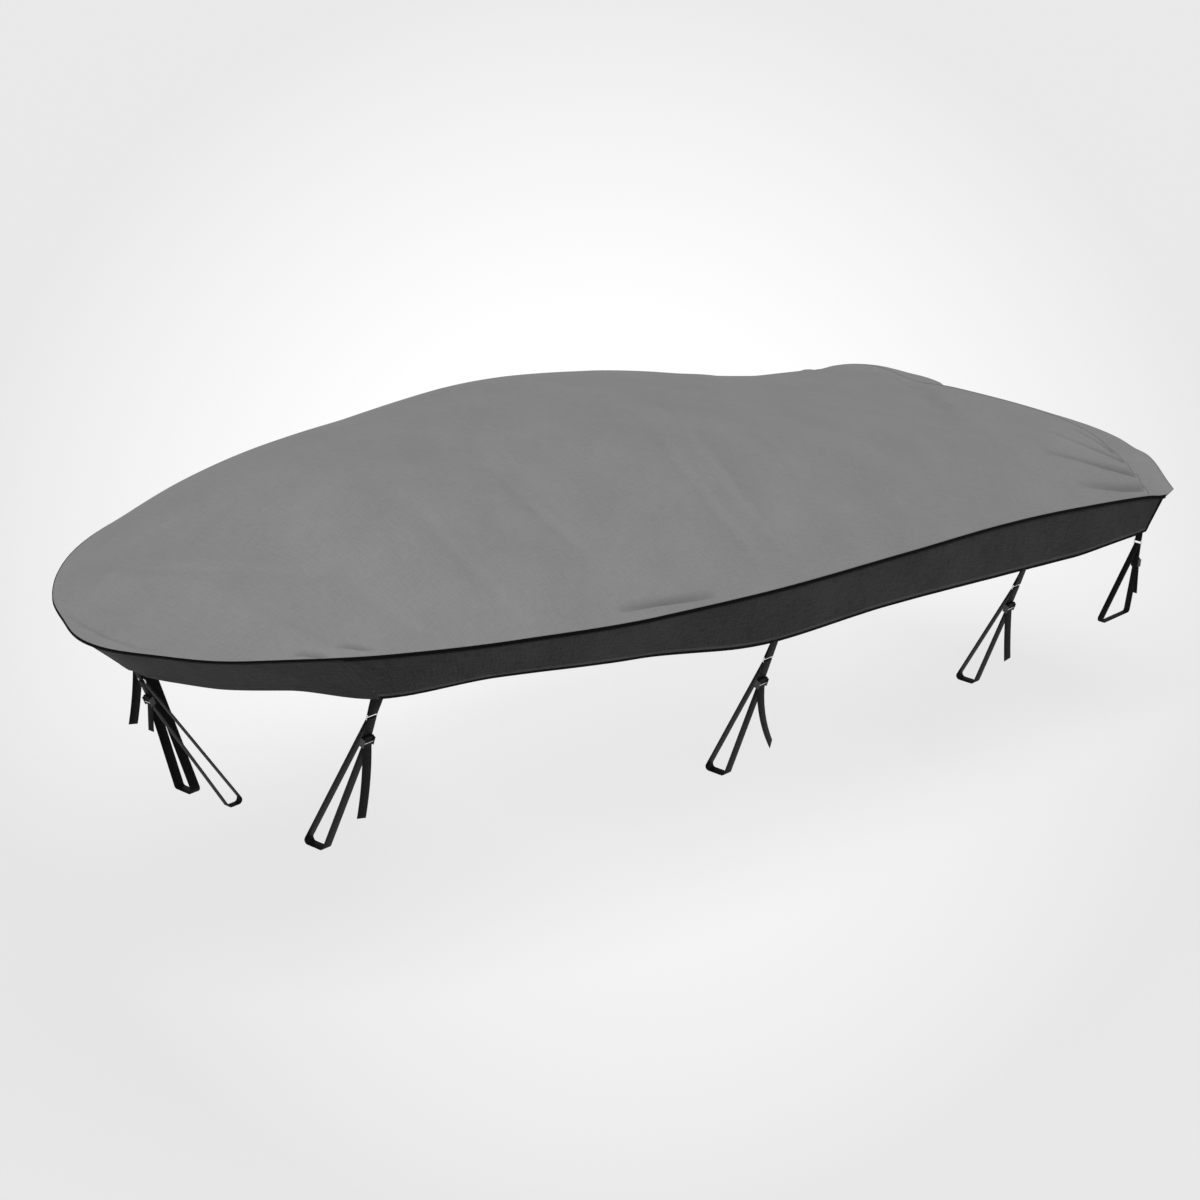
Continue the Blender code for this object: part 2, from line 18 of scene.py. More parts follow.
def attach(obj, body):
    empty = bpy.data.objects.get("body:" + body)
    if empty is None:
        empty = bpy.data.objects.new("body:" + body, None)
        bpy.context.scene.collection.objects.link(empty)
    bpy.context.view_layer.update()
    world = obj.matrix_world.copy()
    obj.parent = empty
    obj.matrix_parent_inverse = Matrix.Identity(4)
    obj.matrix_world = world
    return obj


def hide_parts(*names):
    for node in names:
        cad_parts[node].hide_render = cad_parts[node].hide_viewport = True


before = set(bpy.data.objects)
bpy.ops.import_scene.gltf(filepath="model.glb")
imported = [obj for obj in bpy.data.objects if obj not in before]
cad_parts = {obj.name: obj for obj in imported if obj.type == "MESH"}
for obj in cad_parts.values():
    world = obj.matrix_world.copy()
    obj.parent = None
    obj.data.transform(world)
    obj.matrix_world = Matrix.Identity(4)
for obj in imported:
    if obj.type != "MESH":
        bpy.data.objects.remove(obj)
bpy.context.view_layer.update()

MM = 0.001

# %% [markdown]
# ## Camera
# The view looks down on the port bow through a long lens, so the far end is hardly smaller than the
# near one. A camera needs a place and three directions: right, up, and back out of the picture. They
# come from three angles, which say more to a reader than a matrix would.

# %% Camera
IMAGE_PX, FOCAL_PX, SENSOR_MM, CLIP_END = 1200, 3480, 36.0, 200.0
AZIMUTH, PITCH, ROLL = (radians(angle) for angle in (42.03, 20.81, 0.82))
EYE = Vector((-7.983, -7.258, 3.384))


def place_object(name, data, box=bpy.context.scene.collection):
    """An object for this data, placed in the scene or in another collection."""
    made = bpy.data.objects.new(name, data)
    box.objects.link(made)
    return made


ahead = Vector((cos(AZIMUTH) * cos(PITCH), sin(AZIMUTH) * cos(PITCH), -sin(PITCH)))
level_right = Vector((sin(AZIMUTH), -cos(AZIMUTH), 0.0))
level_up = level_right.cross(ahead)
right = cos(ROLL) * level_right + sin(ROLL) * level_up
up = cos(ROLL) * level_up - sin(ROLL) * level_right

lens = bpy.data.cameras.new("camera")
lens.sensor_width = SENSOR_MM
lens.lens = FOCAL_PX / IMAGE_PX * SENSOR_MM
lens.clip_end = CLIP_END
camera = place_object("camera", lens)
camera.matrix_world = Matrix.Translation(EYE) @ Matrix((right, up, -ahead)).transposed().to_4x4()
bpy.context.scene.camera = camera
print(f"lens {lens.lens:.1f} mm, {EYE.length:.2f} m from the origin")

# %% [markdown]
# ## Helpers for materials
# A dye is given as an sRGB hex value, but light adds up in linear values. One function turns the
# first into the second. Another adds a node, so that each material below reads as a list of its layers.

# %% Colour and node helpers
def linear(code):
    """An sRGB hex value as linear red, green, blue and alpha."""
    values = [int(code[i : i + 2], 16) / 255 for i in (0, 2, 4)]
    return tuple(v / 12.92 if v <= 0.04045 else ((v + 0.055) / 1.055) ** 2.4 for v in values) + (1.0,)


def fill_in(node, inputs):
    """Gives each socket of a node a value, or a link from the output that stands for one."""
    for socket, value in inputs.items():
        if isinstance(value, bpy.types.NodeSocket):
            node.id_data.links.new(value, node.inputs[socket])
        else:
            node.inputs[socket].default_value = value


def add_node(tree, kind, inputs=None, out=0, **settings):
    """Adds a node, and gives back the one of its outputs that is wanted."""
    made = tree.nodes.new("ShaderNode" + kind)
    for name, value in settings.items():
        setattr(made, name, value)
    fill_in(made, inputs or {})
    return made.outputs[out]


def start_material(name):
    """A new material, its Principled shader, and add_node for its own tree."""
    made = bpy.data.materials.new(name)
    made.use_nodes = True
    return made, made.node_tree.nodes["Principled BSDF"], partial(add_node, made.node_tree)


print("mid grey #808080 is", round(linear("808080")[0], 3), "in linear light")

# %% [markdown]
# ## Polyester canvas
# The cloth of such a cover is a plain weave of 600 denier polyester, dyed in the yarn and coated on its
# back. It is matt, and its yarn is uneven, which gives short streaks along both directions of the weave.
# Warp and weft pass over each other in turn, so the height is one wave where the warp lies on top and
# the other where the weft does, and a checker chooses between them. The UV map of every sheet is in
# metres of cloth, so the scale comes straight from the yarn. Pucker troughs are painted darker, as
# painted shade, and the doubled hem is painted paler than the rest of the skirt, as a painted highlight.

# %% Canvas materials
YARN = 1.2 * MM  # two real threads, as one alone is far finer than a pixel
YARN_HIGH, SLUB_HIGH = 0.12 * MM, 0.5 * MM
STREAK_LONG, STREAK_WIDE = 60 * MM, 5 * MM  # coarser than real slubs, so that they show
SPECK, PATCHES = 6 * MM, 4.0
PUCKER_DEEP, PUCKER_SHADE = 12 * MM, 0.72  # how dark the painted shade makes the bottom of a deep pucker


def canvas(name, light, dark, streaks, sheen):
    """Woven polyester between two shades, with streaks of its uneven yarn."""
    made, shader, node = start_material(name)
    threads = node("UVMap", uv_map="cloth")
    across = node("SeparateXYZ", {0: threads}).node.outputs
    turns = [node("Math", {0: across[axis], 1: pi / YARN}, operation="MULTIPLY") for axis in "XY"]
    sines = [node("Math", {0: turn}, operation="SINE") for turn in turns]
    waves = [node("Math", {0: sine}, operation="ABSOLUTE") for sine in sines]
    over = node("TexChecker", {"Vector": threads, "Scale": 1 / YARN}, "Fac")
    height = node("Mix", {0: over, 2: waves[0], 3: waves[1]})
    grains = []
    for long, wide in ((STREAK_LONG, STREAK_WIDE), (STREAK_WIDE, STREAK_LONG)):
        stretched = node("Mapping", {"Vector": threads, "Scale": (1 / long, 1 / wide, 1.0)})
        grains.append(node("TexNoise", {"Vector": stretched, "Scale": 1.0, "Detail": 2.0}))
    streak = node("Math", {0: grains[0], 1: grains[1]}, operation="ADD")
    total = streak
    for scale, detail in ((PATCHES, 3.0), (1 / SPECK, 1.0)):
        cloud = node("TexNoise", {"Vector": threads, "Scale": scale, "Detail": detail})
        total = node("Math", {0: cloud, 1: total}, operation="ADD")
    share = node("MapRange", {"Value": total, "From Min": 2.0 - streaks, "From Max": 2.0 + streaks})
    colour = node("Mix", {0: share, 6: linear(dark), 7: linear(light)}, 2, data_type="RGBA")
    bumps = node("Bump", {"Height": height, "Distance": YARN_HIGH, "Strength": 0.6})
    # Painted shade: the deeper a pucker is at a point, the darker its colour there.
    pucker = node("Attribute", {}, "Fac", attribute_name="pucker")
    painted_crease_shade = {"Value": pucker, "From Min": -PUCKER_DEEP, "From Max": 0.0, "To Min": PUCKER_SHADE}
    fill_in(shader, {
        "Base Color": node("VectorMath", {0: colour, "Scale": node("MapRange", painted_crease_shade)}, operation="SCALE"),
        "Normal": node("Bump", {"Height": streak, "Distance": SLUB_HIGH, "Strength": 0.35, "Normal": bumps}),
        "Roughness": node("MapRange", {"Value": streak, "To Min": 0.94, "To Max": 0.8}),
        "Sheen Weight": sheen,
        "Sheen Roughness": 0.45,
        "Specular IOR Level": 0.15,
    })
    return made


grey_canvas = canvas("light grey polyester canvas", "828282", "767677", 0.55, 0.03)
charcoal_canvas = canvas("charcoal polyester canvas", "333333", "19191a", 0.5, 0.01)
# A paler copy of the charcoal canvas, for the doubled hem: a painted highlight.
hem_highlight_canvas = canvas("charcoal polyester canvas rubbed pale", "454545", "29292a", 0.5, 0.01)
print("canvas: yarn every", YARN / MM, "mm")

# %% [markdown]
# ## Tape and webbing
# The binding is a soft folded tape, and the ties are polypropylene webbing. Webbing has fine ribs along
# its length, over which the weft dips every few millimetres in a herringbone, and it shines a little
# more than cloth does, because its yarn isn't twisted. One kind of material gives both, with the rib
# width and the slope of the weft as the difference.

# %% Tape and webbing materials
RIB_HIGH = 0.25 * MM


def ribbed(name, light, dark, rib, slope, roughness, gloss):
    """Narrow woven goods: ribs along the length, crossed by a weft that slopes from side to side."""
    made, shader, node = start_material(name)
    parts = node("SeparateXYZ", {0: node("UVMap", uv_map="cloth")}).node.outputs
    rib_turn = node("Math", {0: parts["Y"], 1: pi / rib}, operation="MULTIPLY")
    rib_wave = node("Math", {0: rib_turn}, operation="SINE")
    sway = node("Math", {0: rib_wave, 1: slope}, operation="MULTIPLY")
    weft_turn = node("Math", {0: parts["X"], 1: pi / rib}, operation="MULTIPLY")
    weft = node("Math", {0: weft_turn, 1: sway}, operation="ADD")
    weft_wave = node("Math", {0: weft}, operation="SINE")
    ribs, dips = (node("Math", {0: wave}, operation="ABSOLUTE") for wave in (rib_wave, weft_wave))
    height = node("Math", {0: ribs, 1: dips}, operation="MULTIPLY")
    # The colour follows the height: the dips of the weave are painted darker than the tops of the ribs, as
    # painted shade.
    fill_in(shader, {
        "Base Color": node("Mix", {0: height, 6: linear(dark), 7: linear(light)}, 2, data_type="RGBA"),
        "Normal": node("Bump", {"Height": height, "Distance": RIB_HIGH, "Strength": 0.8}),
        "Roughness": roughness,
        "Specular IOR Level": gloss,
    })
    return made


webbing = ribbed("black polypropylene webbing", "111113", "050506", 1.6 * MM, 1.2, 0.55, 0.1)
tape = ribbed("black polyester binding tape", "111112", "08080a", 1.0 * MM, 0.0, 0.8, 0.03)
print("woven:", webbing.name, "and", tape.name)

# %% [markdown]
# ## Thread, moulded nylon and zinc-plated steel
# Thread is the same polyester, bonded so that it shines a little. The buckles are nylon from a textured
# mould, so a fine grain breaks their gloss. The rings and bars are bent from wire and plated with zinc,
# which leaves a bright grey with cloudy patches. In all three one noise drives the colour, and in the
# nylon and the steel the gloss as well.

# %% Thread, nylon and steel materials
def grained(name, dark, light, scale, detail, sockets, rough=(), bump=0.0):
    """A smooth material between two shades, with this noise in its colour, gloss and height."""
    made, shader, node = start_material(name)
    place = node("TexCoord", {}, "Object")
    grain = node("TexNoise", {"Vector": place, "Scale": scale, "Detail": detail})
    colour = node("Mix", {0: grain, 6: linear(dark), 7: linear(light)}, 2, data_type="RGBA")
    fill_in(shader, {"Base Color": colour, **sockets})
    if rough:
        gloss = node("MapRange", {"Value": grain, "To Min": rough[0], "To Max": rough[1]})
        fill_in(shader, {"Roughness": gloss})
    if bump:
        fill_in(shader, {"Normal": node("Bump", {"Height": grain, "Distance": bump})})
    return made


thread = grained("bonded polyester thread", "1c1c1e", "3c3c40", 900.0, 1.0, {"Roughness": 0.5})
nylon = grained("moulded black nylon", "151517", "222326", 1400.0, 2.0, {"IOR": 1.53}, (0.35, 0.5), 0.08 * MM)
steel = grained("zinc-plated steel wire", "b9bcc0", "e3e4e6", 160.0, 3.0, {"Metallic": 1.0}, (0.25, 0.45))
print("materials:", len(bpy.data.materials))

# %% [markdown]
# ## The curves of the cover
# Everything follows one table of sections, from the tip of the bow aft. It gives the seam between top
# and skirt, the crown of the top and the depth of the skirt. A smooth curve runs down each column,
# along the square root of the distance, because a bow that is round in plan has a half beam that grows
# with that root. Distances here are from the tip of the bow, and ORIGIN moves them into place.

# %% Sections
CLOTH, TAPE, WEBBING = 0.002, 0.0015, 0.0018
GAP, EASE = 0.0004, 0.0006
LENGTH, STERN_SEAM, SKIRT_END = 4.30, 4.15, 4.25
BOW_POLE, BOW_SKIRT_TOP, BOW_SKIRT_HEM = 0.26, 0.42, 0.54
CORNER_RAKE, CORNER_REACH, CORNER_POWER = 0.036, 0.12, 6
LIP, SKIRT_HIDDEN = 0.012, 0.006
EDGE_POWER, FINE_POWER = 8, 90
ORIGIN = Vector((2.1, 0.0, 0.44063))

Section = namedtuple("Section", "aft half_beam seam_up crown roundness skirt tuck")
SECTIONS = [Section(*row) for row in (
    (0.00, 0.000, 0.164, 0.000, 2.40, 0.134, 0.159),
    (0.06, 0.185, 0.163, 0.004, 2.38, 0.149, 0.159),
    (0.15, 0.348, 0.163, 0.020, 2.35, 0.156, 0.162),
    (0.30, 0.508, 0.168, 0.064, 2.30, 0.157, 0.149),
    (0.55, 0.680, 0.162, 0.156, 2.23, 0.187, 0.121),
    (0.90, 0.821, 0.145, 0.311, 2.20, 0.158, 0.109),
    (1.40, 0.928, 0.108, 0.367, 2.20, 0.171, 0.104),
    (2.00, 0.961, 0.058, 0.396, 2.63, 0.213, 0.070),
    (2.60, 0.939, 0.002, 0.343, 3.19, 0.202, 0.060),
    (3.20, 0.887, -0.068, 0.258, 3.65, 0.212, 0.048),
    (3.70, 0.853, -0.141, 0.211, 4.08, 0.203, 0.036),
    (4.15, 0.847, -0.211, 0.210, 4.60, 0.165, 0.048),
    (4.25, 0.849, -0.230, 0.190, 5.20, 0.146, 0.047),
    (4.30, 0.851, -0.222, 0.161, 5.40, 0.154, 0.046),
)]
print("widest:", round(2 * max(row.half_beam for row in SECTIONS), 3), "m")

# %% A smooth curve down each column
def smooth_curve(places, values):
    """A cubic through the points that doesn't overshoot them, as a function."""
    steps = np.diff(places)
    slopes = np.diff(values) / steps
    ends = np.empty_like(values)
    ends[0], ends[-1] = slopes[0], slopes[-1]
    for i, (before, after) in enumerate(zip(slopes, slopes[1:])):
        near, far = 2 * steps[i + 1] + steps[i], steps[i + 1] + 2 * steps[i]
        ends[i + 1] = (near + far) / (near / before + far / after) if before * after > 0 else 0.0

    def at(place):
        i = int(np.clip(np.searchsorted(places, place, side="right") - 1, 0, len(steps) - 1))
        u = (place - places[i]) / steps[i]
        start = (1 + 2 * u) * (1 - u) ** 2 * values[i] + u * (1 - u) ** 2 * steps[i] * ends[i]
        return start + u * u * (3 - 2 * u) * values[i + 1] + u * u * (u - 1) * steps[i] * ends[i + 1]

    return at


ROOTS = np.sqrt([row.aft for row in SECTIONS])
CURVES = [smooth_curve(ROOTS, column) for column in np.array(SECTIONS).T[1:]]
COLUMNS = dict(zip(Section._fields[1:], CURVES))


def at_aft(name, aft):
    return float(COLUMNS[name](sqrt(max(aft, 0.0))))


print("crown at mid length:", round(at_aft("crown", LENGTH / 2), 3), "m")

# %% [markdown]
# ## Folds of the top
# Cloth that is drawn down over a crown shows long soft folds, where it is pulled from one tie to the
# next, and short puckers, where it is gathered into a seam. They are listed one by one: the two ends of a
# fold as (aft, across), its width and how far it rises. A real fold isn't an even groove: its trough has
# a low ridge beside it, which makes one side of it light and the other dark. A ridge of its own with a
# trough on both sides, as at the port corner of the stern, is two such rows in opposite directions.

# %% Folds
FOLDS = (
    ((0.64, -0.33), (0.65, -0.66), 0.14, -0.007),
    ((0.96, -0.33), (0.94, -0.73), 0.15, -0.009),
    ((1.37, -0.30), (1.30, -0.72), 0.16, -0.009),
    ((1.67, 0.41), (1.32, -0.05), 0.16, -0.009),
    ((2.09, -0.20), (1.91, -0.80), 0.16, -0.010),
    ((2.34, -0.06), (2.07, -0.90), 0.16, -0.010),
    ((3.35, 0.40), (2.52, -0.38), 0.20, -0.010),
    ((4.09, 0.17), (3.72, -0.33), 0.17, -0.014),
    ((0.30, 0.26), (0.38, -0.24), 0.16, 0.006),
    ((0.38, -0.24), (0.39, -0.50), 0.15, 0.005),
)
# Creases are too fine for the solids. Each is a trough through a few places of (aft, across), with a
# low ridge on its left. It is deepest where a sine is, and its fade says which part of half a turn it
# takes: a soft one fades away at both ends, and a pucker stays deep at the seam.
SOFT, FROM_SEAM, TO_SEAM = (0.06, 0.94), (0.5, 1.0), (0.0, 0.5)
Crease = namedtuple("Crease", "width rise places fade", defaults=[SOFT])
CREASES = [Crease(*row) for row in (
    (0.050, -0.0040, ((0.65, -0.33), (0.63, -0.50), (0.64, -0.62), (0.67, -0.72))),
    (0.050, -0.0040, ((0.98, -0.33), (0.94, -0.50), (0.94, -0.63), (0.96, -0.78))),
    (0.050, -0.0040, ((1.34, -0.29), (1.30, -0.49), (1.31, -0.61), (1.33, -0.75))),
    (0.055, -0.0050, ((2.42, 0.00), (2.08, -0.46), (2.01, -0.69), (2.02, -0.86))),
    (0.055, -0.0050, ((2.10, -0.22), (1.93, -0.53), (1.90, -0.72), (1.91, -0.88))),
    (0.045, -0.0045, ((1.89, 0.49), (1.67, 0.23), (1.58, 0.09), (1.46, -0.09))),
    (0.060, -0.0040, ((1.62, 0.10), (1.36, -0.24), (1.12, -0.52))),
    (0.060, -0.0035, ((2.66, -0.05), (2.42, -0.40), (2.36, -0.66))),
    (0.050, -0.0120, ((4.10, 0.24), (4.00, 0.05), (3.87, -0.11), (3.74, -0.29))),
    (0.050, 0.0028, ((0.38, -0.06), (0.36, -0.30), (0.38, -0.45), (0.42, -0.60))),
    (0.060, 0.0045, ((0.60, -0.30), (0.47, -0.02), (0.40, 0.16), (0.38, 0.34))),
    (0.050, 0.0035, ((0.33, 0.28), (0.25, 0.25), (0.20, 0.24), (0.14, 0.22))),
    (0.040, -0.0060, ((0.08, -0.14), (0.07, -0.01), (0.08, 0.09), (0.11, 0.22))),
    (0.022, -0.0110, ((0.375, -0.560), (0.350, -0.526), (0.325, -0.500)), FROM_SEAM),
    (0.022, -0.0110, ((0.490, -0.618), (0.463, -0.586), (0.440, -0.558)), FROM_SEAM),
    (0.022, -0.0120, ((1.66, -0.927), (1.53, -0.911), (1.42, -0.895), (1.29, -0.878))),
    (0.030, -0.0120, ((4.13, -0.68), (4.110, -0.60), (4.10, -0.52)), FROM_SEAM),
    (0.030, -0.0130, ((4.13, -0.725), (4.057, -0.668), (4.005, -0.616), (3.95, -0.52)), FROM_SEAM),
    (0.030, -0.0140, ((4.13, -0.778), (3.99, -0.734), (3.90, -0.693), (3.78, -0.635)), FROM_SEAM),
    (0.028, -0.0120, ((4.13, -0.822), (4.00, -0.815), (3.90, -0.801), (3.78, -0.785)), FROM_SEAM),
    (0.030, -0.0120, ((3.95, 0.52), (4.01, 0.62), (4.06, 0.67), (4.13, 0.72)), TO_SEAM),
    (0.030, -0.0130, ((3.78, 0.635), (3.90, 0.693), (3.99, 0.734), (4.13, 0.778)), TO_SEAM),
    (0.028, -0.0110, ((3.78, 0.785), (3.90, 0.801), (4.00, 0.815), (4.13, 0.822)), TO_SEAM),
    (0.110, 0.0060, ((4.18, -0.72), (4.26, -0.735), (4.34, -0.752)), TO_SEAM),
    (0.110, 0.0060, ((4.34, -0.752), (4.26, -0.735), (4.18, -0.72)), FROM_SEAM),
    (0.160, 0.0130, ((4.27, 0.25), (4.17, 0.41), (4.16, 0.58)), (0.4, 0.94)),
)]
RIDGE_BESIDE, RIDGE_NARROWER, RIDGE_SHARE = 1.3, 1.6, 0.7
FADE_POWER, CREASE_ENDS = 0.6, 4
PUCKERS = [crease for crease in CREASES if crease.width < 0.032]
SLACK = 1.8 * MM


def line_profile(start, end, width, aft, across):
    """Distance from a line as a share of its half width, positive on its left, and how far along it the
    nearest point lies, from 0 to 1."""
    run_aft, run_across = end[0] - start[0], end[1] - start[1]
    off_aft, off_across = aft - start[0], across - start[1]
    share = (off_aft * run_aft + off_across * run_across) / (run_aft**2 + run_across**2)
    share = min(max(share, 0.0), 1.0)
    side = copysign(1.0, run_aft * off_across - run_across * off_aft)
    return 2 * side * hypot(off_aft - share * run_aft, off_across - share * run_across) / width, share


def fold_rise(aft, across):
    """What the folds add to the height of the top at a place, as in the solids."""
    profiles = [(rise, line_profile(start, end, wide, aft, across)[0]) for start, end, wide, rise in FOLDS]
    return sum(rise * exp(-profile**2) for rise, profile in profiles)


def crease_rise(creases, aft, across):
    """What these creases add: a trough through the places of each and the ridge on its left."""
    total = 0.0
    for crease in creases:
        pieces = zip(crease.places, crease.places[1:])
        found = [line_profile(start, end, crease.width, aft, across) for start, end in pieces]
        nearest = min(range(len(found)), key=lambda i: abs(found[i][0]))
        profile, share = found[nearest]
        if abs(profile) <= CREASE_ENDS:
            gone = (nearest + share) / len(found)
            fade = sin(pi * (crease.fade[0] + (crease.fade[1] - crease.fade[0]) * gone)) ** FADE_POWER
            ridge = exp(-((RIDGE_NARROWER * (profile - RIDGE_BESIDE)) ** 2))
            total += crease.rise * fade * (exp(-(profile**2)) - RIDGE_SHARE * ridge)
    return total


def wander(x, y=0.0, z=0.0):
    """Smooth noise at a place."""
    return noise.noise(Vector((x, y, z)))


def fine_rise(aft, across):
    """What the cloth adds to the folds: creases, and the slack between them."""
    slack = wander(2.1 * aft, 2.6 * across) + 0.5 * wander(5.3 * aft, 6.1 * across, 4.0)
    return SLACK * slack + crease_rise(CREASES, aft, across)


print("folds:", len(FOLDS), "creases:", len(CREASES), "of them narrow puckers:", len(PUCKERS))

# %% [markdown]
# ## Points of the top, the seam and the skirt
# The top is a height over the plan. The seam is the edge of that plan, and the skirt falls from it and
# tucks in. Its cut ends slope, most of all at the bow seam, and its aft corners are raked.

# %% Surface functions
def top_up(aft, across, fine=False):
    """Height of the outer face of the top."""
    half_beam = at_aft("half_beam", aft)
    share = min(abs(across) / half_beam, 1.0) if half_beam > 0 else 1.0
    arch = 1 - share ** at_aft("roundness", aft)
    rise = fold_rise(aft, across) * (1 - share**EDGE_POWER)
    if fine:
        rise += fine_rise(aft, across) * (1 - share**FINE_POWER)
    return at_aft("seam_up", aft) + at_aft("crown", aft) * arch + rise


def seam_plan(root):
    """The seam from above. root is the square root of the distance aft, negative to port."""
    return Vector((root * root, copysign(at_aft("half_beam", root * root), root), 0.0))


def seam_outward(root, step=0.004):
    """The level direction out from the seam."""
    run = seam_plan(min(root + step, ROOTS[-1])) - seam_plan(max(root - step, -ROOTS[-1]))
    return Vector((-run.y, run.x, 0.0)).normalized()


def seam_point(root, out, down):
    """A point beside the seam, out from it and down from it."""
    point = seam_plan(root) + out * seam_outward(root)
    point.z = at_aft("seam_up", root * root) - down
    return point


def skirt_point(root, level, out=0.0):
    """A point of the skirt's outer face, from 0 under the seam to 1 at the hem."""
    aft = root * root
    inset = CLOTH + GAP + at_aft("tuck", aft) * level - out
    point = seam_point(root, -inset, SKIRT_HIDDEN + (at_aft("skirt", aft) - SKIRT_HIDDEN) * level)
    point.x -= CORNER_RAKE * level * exp(-(SKIRT_END - aft) / CORNER_REACH)
    return point


def slanted(root, level):
    """The grain of the skirt: its cut ends slope aft towards the hem, most of all at the bow seam."""
    aft = root * root
    share = exp((BOW_SKIRT_TOP - aft) / BOW_SKIRT_TOP) * min(1.0, (SKIRT_END - aft) / BOW_SKIRT_TOP)
    if aft < BOW_SKIRT_TOP:
        share = sin(pi / 2 * aft / BOW_SKIRT_TOP)
    return copysign(sqrt(aft + (BOW_SKIRT_HEM - BOW_SKIRT_TOP) * share * level), root)


def corner_fade(share):
    """1 across the stern, falling to 0 at its corners."""
    return 1.0 - abs(share) ** CORNER_POWER


def transom_point(share, level, out=0.0, fine=False):
    """A point of the skirt across the stern, from port to starboard by its share of the width, and from
    0 under the stern panel to 1 at its level hem. A fine one follows the creases of the edge above."""
    side, top, hem = (skirt_point(sqrt(SKIRT_END), step) for step in (level, 0.0, 1.0))
    under = SKIRT_END + (LENGTH - SKIRT_END) * corner_fade(share)
    top_height = top_up(under, share * (top.y - CLOTH - 2 * GAP), fine=fine) - SKIRT_HIDDEN
    aft = under + (SKIRT_END - CORNER_RAKE - under) * level - CLOTH - GAP + out
    return Vector((aft, share * (side.y - CLOTH - 2 * GAP), top_height + (hem.z - top_height) * level))


print("top at mid length:", round(top_up(2.1, 0.0) - ORIGIN.z, 4), "m over the origin")

# %% [markdown]
# ## Turning rows of points into cloth
# A sheet starts as rows of points on its outer face, joined by faces. Points that meet, as at the bow,
# are merged, and Solidify gives the thickness. Every corner of a face also gets a UV place in metres of
# cloth, which is what the weave is drawn on. A narrow piece is swept instead: its rows are closed
# outlines, one after another along its length, capped at both ends or joined in a ring.

# %% Sheets and sweeps
MERGE = 1e-6
SHEET_THICK = 1.4 * MM
parts_box = bpy.data.collections.new("cover")
bpy.context.scene.collection.children.link(parts_box)


def join_rows(mesh, rows, places, closed=False, joined=False):
    """Faces between rows of points. closed rows come round to their first point, and joined rows to
    their first row. places gives each point its UV place on the cloth."""
    layer = mesh.loops.layers.uv.new("cloth") if places else None
    grid = [[mesh.verts.new(point - ORIGIN) for point in row] for row in rows]
    count, wide = len(grid), len(grid[0])
    for i in range(count if joined else count - 1):
        for j in range(wide if closed else wide - 1):
            corners = ((i, j), (i, j + 1), (i + 1, j + 1), (i + 1, j))
            face = mesh.faces.new([grid[a % count][b % wide] for a, b in corners])
            if places:
                for loop, (a, b) in zip(face.loops, corners):
                    loop[layer].uv = places[a][b]
    return grid, layer


def finish_piece(name, mesh, finish, node):
    """A named object for a finished mesh, which rides on the cover and stands for its solid."""
    for face in mesh.faces:
        face.smooth = True
    data = bpy.data.meshes.new(name)
    mesh.to_mesh(data)
    mesh.free()
    data.materials.append(finish)
    piece = place_object(name, data, parts_box)
    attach(piece, "root")
    if node:
        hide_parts(node)
    return piece


def sheet(name, rows, places, finish, node, thickness=SHEET_THICK, puckered=False):
    """Cloth through rows of points on its outer face."""
    mesh = bmesh.new()
    painted_crease_shade = mesh.verts.layers.float.new("pucker")
    grid, _ = join_rows(mesh, rows, places)
    # The depth of the puckers at each point, which paints shade into their troughs.
    for point, vertex in zip(sum(rows, []), sum(grid, [])):
        vertex[painted_crease_shade] = crease_rise(PUCKERS, point.x, point.y) if puckered else 0.0
    bmesh.ops.remove_doubles(mesh, verts=mesh.verts, dist=MERGE)
    piece = finish_piece(name, mesh, finish, node)
    solid = piece.modifiers.new("thickness", "SOLIDIFY")
    solid.thickness, solid.offset, solid.use_even_offset = thickness, -1.0, True
    graph = bpy.context.evaluated_depsgraph_get()
    thick = bpy.data.meshes.new_from_object(piece.evaluated_get(graph), depsgraph=graph)
    piece.modifiers.remove(solid)
    thin, piece.data = piece.data, thick
    bpy.data.meshes.remove(thin)
    thick.name = name
    return piece


def sweep(name, loops, places, finish, node, joined=False):
    """A closed body through a row of closed outlines."""
    mesh = bmesh.new()
    grid, layer = join_rows(mesh, loops, places, True, joined)
    for end, order in () if joined else ((0, -1), (-1, 1)):
        cap = mesh.faces.new(grid[end][::order])
        for loop in cap.loops if places else ():
            loop[layer].uv = places[end][0]
    bmesh.ops.triangulate(mesh, faces=[face for face in mesh.faces if len(face.verts) > 4])
    bmesh.ops.recalc_face_normals(mesh, faces=mesh.faces)
    return finish_piece(name, mesh, finish, node)


def cloth_area(piece):
    """Area of one face of a sheet, in square metres."""
    return sum(polygon.area for polygon in piece.data.polygons) / 2


def between(start, end, steps):
    return [start + (end - start) * i / steps for i in range(steps + 1)]


def both_sides(half):
    """Stations from the port end round the bow to the starboard end."""
    return [-root for root in reversed(half)] + [root for root in half if root > 0]


print("collection:", parts_box.name)

# %% [markdown]
# ## Top panel
# The top is one wide panel, cut a little larger than the opening so that it rises to a crown over what
# it covers, and turned down at the seam. Ribs run from its spine out to the seam, and at the bow they
# fan out of one point, which keeps the faces even. They stand 8.5 to 26 mm apart, closest where the
# puckers are, so that folds and puckers are real shapes.

# %% Top panel
RIM_ROUND, TOP_LIP = 2 * MM, 7 * MM
RIBS_BOW, RIB_POINTS, RIB_POWER = 44, 78, 0.8
RIB_STEPS = ((1.45, 12), (1.90, 20), (2.45, 14), (3.70, 26), (3.92, 16), (4.13, 8.5))
GATHER_DEEP, GATHER_REACH, GATHER_START, GATHERS = 0.9 * MM, 0.05, 0.012, 9.0
FELL_WIDE, FELL_STEP, FELL_HIGH = 10 * MM, 2 * MM, 0.9 * MM
DRAPE = 0.6  # how much cloth the fall from the crest takes, for its UV places


